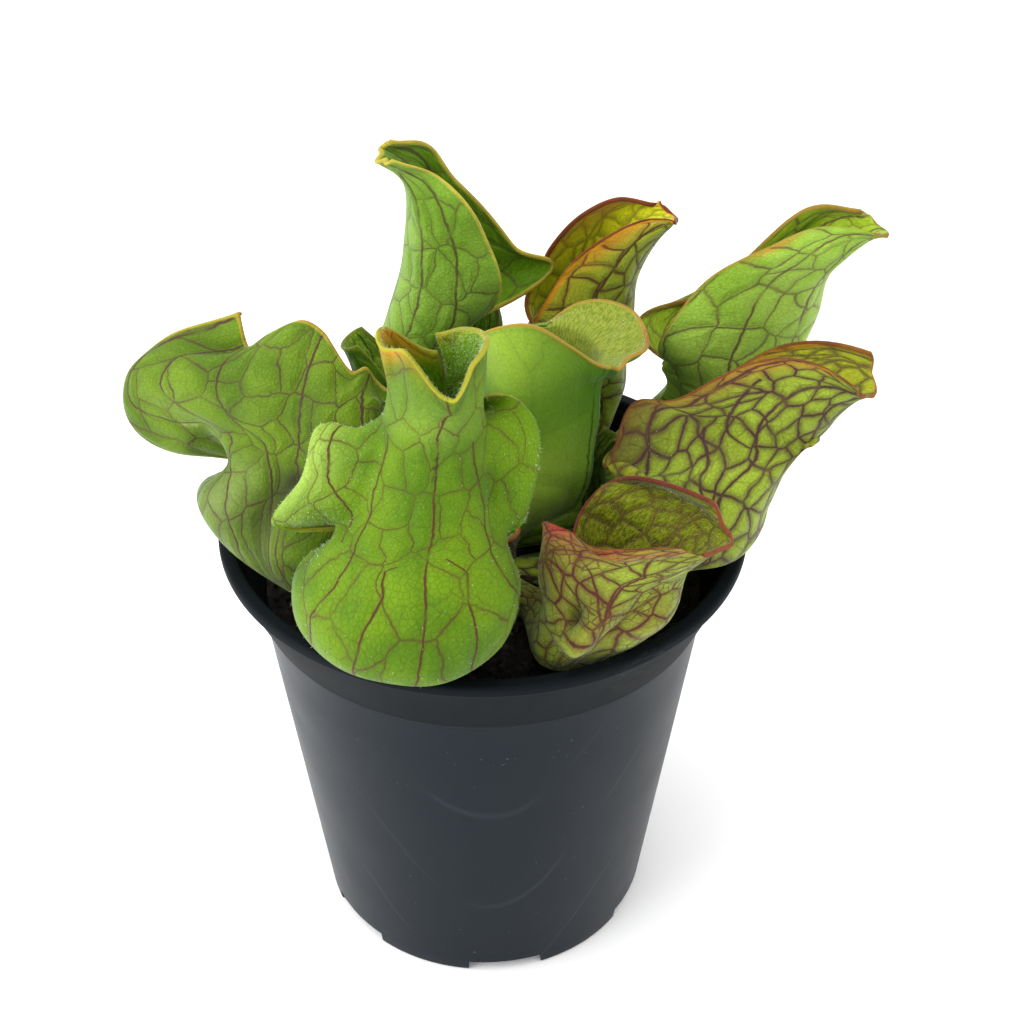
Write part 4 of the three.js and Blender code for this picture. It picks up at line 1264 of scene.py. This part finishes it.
def right_back_pitcher():
    """The tall green pitcher at the far right."""
    return leaf_plan([
        level((7.6, 8, 103), 28, 80, 2.5, 5),
        level((23, 14, 102), 20, 80, 5, 9),
        level((37, 20, 105), 20, 60, (9, 10), 18),
        level((47, 24, 116), 18, 52, (12, 11), 16),
        level((62, 27, 126), 15, 40, (13, 12), 20),
        level((73, 26, 140), 10, 15, (12, 15), 28),
        level((78, 25, 151), 8, -2, (12, 15), 32),
        level((82, 25, 163), 5, 0, (12, 16), 44, wrap=(140, 130), back=(0, -6), rise=(0, -8)),
        level((83.5, 24, 174), 5, 8, (12, 14), 41, wrap=(125, 110), rise=(0, -18)),
        level((87.5, 23, 181), 5, 18, 12, 33, wrap=(115, 105), rise=(0, -19)),
        level((92, 22, 185), 5, 22, (8, 9), 23, wrap=(115, 105), rise=(0, -4)),
        level((95, 21, 186), 5, 30, (5, 6), 10, wrap=105),
    ],
        wave=(2, 0.7, 2),
        dents=[(8, -0.4, 1.5, 0.12, 0.8)],
        spots=[(BLUSH, 9.1, -1, 0.5, 0.05, 0.9), (BLUSH, 10.8, 0.9, 0.5, 0.12, 0.5)])


def back_left_pitcher():
    """The tallest pitcher, behind the front one, with a long open throat."""
    return leaf_plan([
        level((-8.8, 8.8, 103), 134, 80, 2.5, 5),
        level((-16, 18, 102), 135, 80, 6, 10),
        level((-24, 25, 106), 150, 58, 13, 18),
        level((-30, 28, 118), 163, 30, 15, 22),
        level((-31, 29, 132), 172, 5, 15, 22),
        level((-28, 30, 146), 178, -10, 13, 19),
        level((-24, 30, 157), 182, -10, 12, 18),
        level((-21, 30, 167), 185, -5, 13, 27, wrap=(120, 140), back=(-20, 0)),
        level((-19, 29, 178), 185, 5, 13, 27, wrap=(110, 125), back=(-9, 0), rise=(-10, 0)),
        level((-18, 28, 188), 185, 15, 11, 22, wrap=(105, 115), rise=(-2, 0)),
        level((-19, 27, 197), 185, 25, 8, 14, wrap=(100, 110), rise=(1, 0)),
        level((-24, 26, 203), 185, 35, 5, 8, wrap=90),
    ],
        wave=(3, 0.8, 0.5),
        dents=[(9, 0.4, 1.5, 0.12, 0.8)])


def back_pitcher():
    """The pitcher with orange and brown margins behind the middle."""
    return leaf_plan([
        level((1.7, 12, 103), 72, 80, 2.5, 5),
        level((8, 24, 102), 65, 80, 6, 9),
        level((18, 36, 105), 55, 60, 11, 16),
        level((29, 45, 115), 40, 35, (11, 14), 20),
        level((35, 47, 129), 30, 10, (12, 15), 23),
        level((36, 46, 142), 22, -5, 15, 26),
        level((37.5, 44, 153), 18, -5, 14, 26),
        level((38.5, 42, 163), 15, 0, 13, 31, wrap=(140, 120), rise=(-2, -4)),
        level((40, 40, 170), 15, 12, 12, 29, wrap=(125, 110), rise=(0, -6)),
        level((42, 38, 176), 15, 25, 11, 24, wrap=(115, 105), rise=(0, -4)),
        level((44.5, 37, 180), 15, 35, 9, 16, wrap=(110, 105), rise=(0, -3)),
        level((47, 36, 182), 15, 40, 6, 8, wrap=100, rise=(0, -2)),
    ],
        wave=(2, 0.6, 1.5), fan=0.5,
        spots=[(BLUSH, 9, -0.95, 1.5, 0.14, 0.7), (BLUSH, 9.5, 0.9, 1.5, 0.25, 0.6)])


def middle_pitcher():
    """The smooth green tube in the middle, with a round hood lightened on its upper left with painted
    light.
    """
    return leaf_plan([
        level((4.6, 0.3, 104.7), 150, 60, 2.5, 4),
        level((4, 4, 109), 148, 30, 6, 9),
        level((3, 8, 120), 146, 8, 11, 20),
        level((2, 9, 133), 146, 0, 14, 26),
        level((2, 9, 146), 146, -3, 14.5, 27),
        level((2, 9, 154), 146, -3, 14.5, 28),
        level((2, 9, 161), 146, -2, 15, 28),
        level((2, 9, 166), 146, 0, 15.5, 29),
        level((1, 10, 171), 146, 5, 17, 32),
    ],
        mouth=8,
        lobes=[
            (0.5, 0.25, 8, 0), (0.68, 0.15, 4, 0), (0, 0.3, -8, 0), (-0.28, 0.14, -6, 0),
            (-0.62, 0.22, -4, 8), (-0.85, 0.12, -5, 4), (1, 0.12, -6, 0), (-1, 0.08, -5, 0),
        ],
        spots=[
            # Painted light: the upper left of the hood, lightened where the light falls on it.
            (PALE, 7.8, 0.45, 1.6, 0.3, 0.8),
            # Painted light: the low part of the tube, lightened against the shade between the other
            # pitchers.
            (PALE, 3, 0.75, 2, 0.3, 0.6),
            (BLUSH, 8, 0.85, 0.12, 0.2, 0.6),
        ],
        ribs=[[(0, 0.97), (20, 0.97)], [(0, -0.96), (20, -0.96)]],
        down=[(1, 7.6, -0.6, 1.2, 0.5, 1.2)])


def front_right_pitcher():
    """The low pitcher in front, folded at its foot, with a dense red net."""
    return leaf_plan([
        level((3.5, -7.4, 103), -58, 80, 2.4, 5),
        level((13, -20, 102), -50, 80, 5, 8),
        level((23, -34, 104), -48, 70, (14, 8), 15),
        level((31, -41, 109), -45, 50, (20, 9), 21),
        level((37, -45.5, 118), -40, 25, (20.5, 10), 24),
        level((40.5, -48, 126), -38, 5, (23, 10), 25),
        level((43, -48, 131), -36, 0, (22, 10), 28),
        level((45, -46, 137), -34, 5, (18, 11), 34, wrap=(150, 140), rise=(4, 2)),
        level((48, -46, 140), -34, 12, (16, 13), 36, wrap=125, rise=(0, -1)),
        level((51, -46, 142.5), -34, 20, (14, 11), 30, wrap=(110, 115), rise=(-6, -1)),
        level((54, -46, 144), -34, 25, (8, 5), 14, wrap=(100, 110), rise=(-2, 3)),
    ],
        wave=(2, 0.6, 0),
        dents=[
            (6.3, -0.54, 0.4, 0.06, -5),
            (5.2, -0.6, 0.9, 0.1, -2.2),
            (6.1, -0.82, 0.8, 0.1, 2.5),
            (5.4, -0.4, 1.1, 0.05, 2),
            (6.6, -0.36, 0.6, 0.05, 2),
            (5.4, -0.25, 1.3, 0.07, -4),
            (5.6, -0.07, 1, 0.09, 2.4),
            (8.8, -0.9, 0.4, 0.06, -1.2),
        ],
        spots=[
            (BLUSH, 8.1, -0.97, 1, 0.17, 1.2),
            (BLUSH, 9.6, -0.8, 0.5, 0.1, 0.4),
            (PALE, 10, 0.45, 0.5, 0.5, 0.9),
            (PALE, 9, 1, 1.1, 0.1, 0.9),
            # Painted shade: the bottom of the deep dent darkened nearly to black.
            (DEEP, 6.3, -0.54, 0.3, 0.045, 0.7),
        ],
        ribs=[
            [(0, -0.3), (5, -0.34), (6.2, -0.36), (7, -0.5), (7.5, -0.63), (7.8, -0.85), (8.2, -1)],
            [(6.2, -0.36), (7.3, -0.42), (8, -0.42), (9, -0.6), (9.8, -0.85)],
            [(6.4, -0.4), (6.8, -0.62), (7.1, -0.78), (7.2, -0.95)],
            [(7.3, -0.42), (8, -0.28), (9, -0.2), (10, -0.2)],
            [(0, 0.3), (5, 0.35), (8, 0.45), (10, 0.5)],
        ],
        down=[(1, 8.2, 0.6, 1.6, 0.4, 0.8)])


LARGE_LEAVES = {
    "pitcher_front": front_pitcher,
    "pitcher_left": left_pitcher,
    "pitcher_right": right_pitcher,
    "pitcher_right_back": right_back_pitcher,
    "pitcher_back_left": back_left_pitcher,
    "pitcher_back": back_pitcher,
    "pitcher_middle": middle_pitcher,
    "pitcher_front_right": front_right_pitcher,
}

# The young leaves' shared form. Each cross-section: how far out and up, half its width, its depth,
# its tilt and its wrap.
YOUNG_LEVELS = [
    (0, 0, 2, 4, 80, 180),
    (9, 0, 3.5, 6, 72, 180),
    (17, 4, 6, 10, 50, 180),
    (22, 13, 7.5, 13, 22, 180),
    (23, 23, 7.5, 13, 0, 180),
    (22, 33, 7, 12, -8, 180),
    (22, 38, 8, 17, 0, 140),
    (23, 43, 9, 17, 10, 120),
    (25, 48, 7, 12, 25, 105),
]


def young_plan(x, y, face, reach, height, girth):
    """A small leaf of the shared young shape, set out from the crown."""
    turn = math.radians(face)
    levels = []
    for out, up, wide, deep, tip, wrap in YOUNG_LEVELS:
        away = out * reach
        place = (x + away * math.cos(turn), y + away * math.sin(turn), YOUNG_START + up * height)
        levels.append(level(place, face, tip, wide * girth, deep * girth, wrap=wrap))
    return leaf_plan(levels, mouth=5, wave=(1, 0.3, 0))


def young_plans():
    return {
        "young_left": young_plan(-11.2, 4.6, 176, 0.87, 1.3, 0.62),
        "young_back": young_plan(-3.2, 12.2, 88, 1.58, 1.05, 0.8),
        "young_right": young_plan(9.3, 2, 13.5, 0.98, 0.7, 0.36),
        "young_front": young_plan(-0.7, -8.4, -75, 0.84, 0.62, 0.6),
    }


def leaf_skins():
    """The skin of each leaf, from the clear green in front to the dark net at the right."""
    skins = {}
    skins["pitcher_front"] = leaf_skin(
        "front pitcher skin", seed=1,
        light=(0.115, 0.215, 0.003), shade=(0.06, 0.14, 0.002), vein=(0.065, 0.015, 0.01),
        rib_width=0.26, net_width=0.12,
        fine_strength=0.22, halo=0.15,
        pebbles=0.25, fuzz=0.1,
        edge=(0.27, 0.36, 0.03), edge_width=0.22,
        rim=(0.34, 0.3, 0.02), rim_width=0.2, rim_share=0.06,
        inside=((0.09, 0.24, 0.002), (0.2, 0.38, 0.01)),
        blush=(0.45, 0.21, 0.01), pale=(0.38, 0.55, 0.1),
    )
    skins["pitcher_left"] = leaf_skin(
        "left pitcher skin", seed=2,
        light=(0.125, 0.212, 0.008), shade=(0.067, 0.132, 0.004), vein=(0.06, 0.018, 0.02),
        rib_width=0.28, net_size=8.5, net_strength=0.7,
        fine_strength=0.22, halo=0.12,
        edge=(0.357, 0.323, 0.034), edge_width=0.4,
        rim=(0.3, 0.16, 0.02), rim_width=0.3, rim_share=0.2,
        inside=((0.0765, 0.153, 0.0051), (0.153, 0.23, 0.0255)),
        blush=(0.34, 0.145, 0.017),
    )
    skins["pitcher_right"] = leaf_skin(
        "right pitcher skin", seed=3,
        light=(0.25, 0.34, 0.025), shade=(0.16, 0.21, 0.012), vein=(0.05, 0.013, 0.02),
        rib_width=0.45, net_size=5.6, net_width=0.24, net_strength=0.92,
        fine_strength=0.35, inside_veins=0.45, halo=0.6, halo_width=1.5,
        edge=(0.4, 0.17, 0.0127), edge_width=0.3,
        rim=(0.17, 0.051, 0.0102), rim_width=0.3,
        inside=((0.22, 0.27, 0.01), (0.38, 0.38, 0.017)),
        blush=(0.425, 0.17, 0.017), deep=(0.1, 0.04, 0.03),
    )
    # Partly its own paler green, partly painted light: lightened to stand in for light shining through the
    # leaf.
    skins["pitcher_right_back"] = leaf_skin(
        "far right pitcher skin", seed=4,
        light=(0.29, 0.46, 0.055), shade=(0.19, 0.35, 0.022), vein=(0.1, 0.055, 0.03),
        rib_width=0.34, net_size=7.0, net_width=0.2, net_strength=0.75,
        fine_strength=0.2, halo=0.2,
        edge=(0.36, 0.42, 0.0425), edge_width=0.3,
        rim=(0.255, 0.085, 0.017), rim_width=0.3, rim_share=0.2,
        inside=((0.212, 0.357, 0.0085), (0.357, 0.468, 0.0255)),
        blush=(0.51, 0.17, 0.0255),
    )
    # Partly its own paler green, partly painted light: lightened to stand in for light shining through the
    # leaf.
    skins["pitcher_back_left"] = leaf_skin(
        "tallest pitcher skin", seed=5,
        light=(0.204, 0.348, 0.0382), shade=(0.136, 0.272, 0.017), vein=(0.07, 0.05, 0.02),
        rib_width=0.32, net_size=7.5, net_width=0.15,
        fine_strength=0.2, halo=0.15,
        edge=(0.468, 0.408, 0.051), edge_width=0.45,
        rim=(0.42, 0.32, 0.03), rim_width=0.25, rim_share=0.2,
        inside=((0.085, 0.204, 0.00255), (0.145, 0.289, 0.0085)),
    )
    # Partly its own paler green, partly painted light: lightened to stand in for light shining through the
    # leaf.
    skins["pitcher_back"] = leaf_skin(
        "back pitcher skin", seed=6,
        light=(0.357, 0.425, 0.034), shade=(0.255, 0.306, 0.017), vein=(0.07, 0.018, 0.014),
        rib_width=0.4, net_size=5.5, net_width=0.25, net_strength=0.85,
        inside_veins=0.4, halo=0.35,
        edge=(0.51, 0.238, 0.0085), edge_width=1.1,
        rim=(0.16, 0.035, 0.006), rim_width=0.4, rim_share=0.6,
        inside=((0.468, 0.527, 0.0068), (0.68, 0.663, 0.017)),
        blush=(0.51, 0.136, 0.0085),
    )
    skins["pitcher_middle"] = leaf_skin(
        "middle pitcher skin", seed=7,
        light=(0.07, 0.2, 0.002), shade=(0.036, 0.125, 0.001), vein=(0.03, 0.075, 0.002),
        rib_width=0.25, net_size=14.0, net_width=0.08, net_strength=0.2,
        fine_strength=0.08, halo=0.08,
        glow=0.15, pebbles=0.12, fuzz=0.3,
        edge=(0.34, 0.323, 0.034), edge_width=0.3,
        rim=(0.34, 0.153, 0.017), rim_width=0.25, rim_share=0.4,
        inside=((0.136, 0.204, 0.0085), (0.281, 0.306, 0.0425)),
        # The pale colour of this skin is painted light, used by the middle pitcher's pale patches.
        blush=(0.221, 0.085, 0.0102), pale=(0.468, 0.68, 0.068),
    )
    skins["pitcher_front_right"] = leaf_skin(
        "low pitcher skin", seed=8,
        light=(0.24, 0.31, 0.03), shade=(0.18, 0.18, 0.022), vein=(0.07, 0.01, 0.016),
        rib_width=0.36, net_size=5.2, net_width=0.22, net_strength=0.92, net_stretch=0.9,
        fine_size=2.1, fine_strength=0.7, inside_veins=0.4, halo=0.45,
        edge=(0.4, 0.1, 0.02), edge_width=0.25,
        rim=(0.15, 0.03, 0.015), rim_width=0.2, rim_share=0.45,
        inside=((0.1, 0.125, 0.003), (0.23, 0.26, 0.008)),
        blush=(0.5, 0.04, 0.05), pale=(0.637, 0.255, 0.0127),
    )
    skins["young_leaf"] = leaf_skin(
        "young leaf skin", seed=9,
        light=(0.09, 0.2, 0.005), shade=(0.05, 0.13, 0.002), vein=(0.03, 0.05, 0.002),
        rib_width=0.2, net_size=6.0, net_width=0.08, net_strength=0.3,
        halo=0.1,
        edge=(0.14, 0.2, 0.01), edge_width=0.5,
        rim=(0.12, 0.15, 0.01), rim_share=0.2,
    )
    skins["young_leaf_red"] = leaf_skin(
        "maroon young leaf skin", seed=10,
        light=(0.0595, 0.017, 0.0102), shade=(0.0298, 0.00765, 0.0068), vein=(0.012, 0.003, 0.003),
        rib_width=0.2, net_size=5.0, net_width=0.12, net_strength=0.5,
        edge=(0.085, 0.017, 0.0102), edge_width=0.6,
        rim_share=0.2,
    )
    return skins


def grow_leaf(name, plan, skin, per_level, columns, hair):
    """A finished leaf and, where its plan says so, its down."""
    piece = leaf_mesh("fine_" + name, plan, per_level, columns)
    if plan["down"]:
        sizes = {"Density": HAIRS_PER_AREA, "Length": HAIR_LENGTH * MM, "Width": HAIR_WIDTH * MM}
        coat = scattered(
            "down_" + name, piece, hair, sizes, hair_form, HAIR_SCALES, HAIR_LEAN, HAIR_SEED, "downy",
        )
        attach(coat, "root")
    piece.data.materials.append(skin)
    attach(piece, "root")
    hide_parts(name)


def plant():
    skins = leaf_skins()
    hair = down()
    for name, plan in LARGE_LEAVES.items():
        grow_leaf(name, plan(), skins[name], ROWS_PER_LEVEL, COLUMNS, hair)
    for name, plan in young_plans().items():
        slot = "young_leaf_red" if name == "young_front" else "young_leaf"
        grow_leaf(name, plan, skins[slot], YOUNG_ROWS_PER_LEVEL, YOUNG_COLUMNS, hair)


def ground():
    """The soil and the rootstock keep their solid shapes and get their own finish."""
    earth = peat()
    for name, material in (("soil", earth), ("rhizome", bark())):
        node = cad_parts[name]
        node.data.materials.clear()
        node.data.materials.append(material)
    crumbs(earth)


photo_camera()
studio()
pot(black_plastic())
ground()
plant()
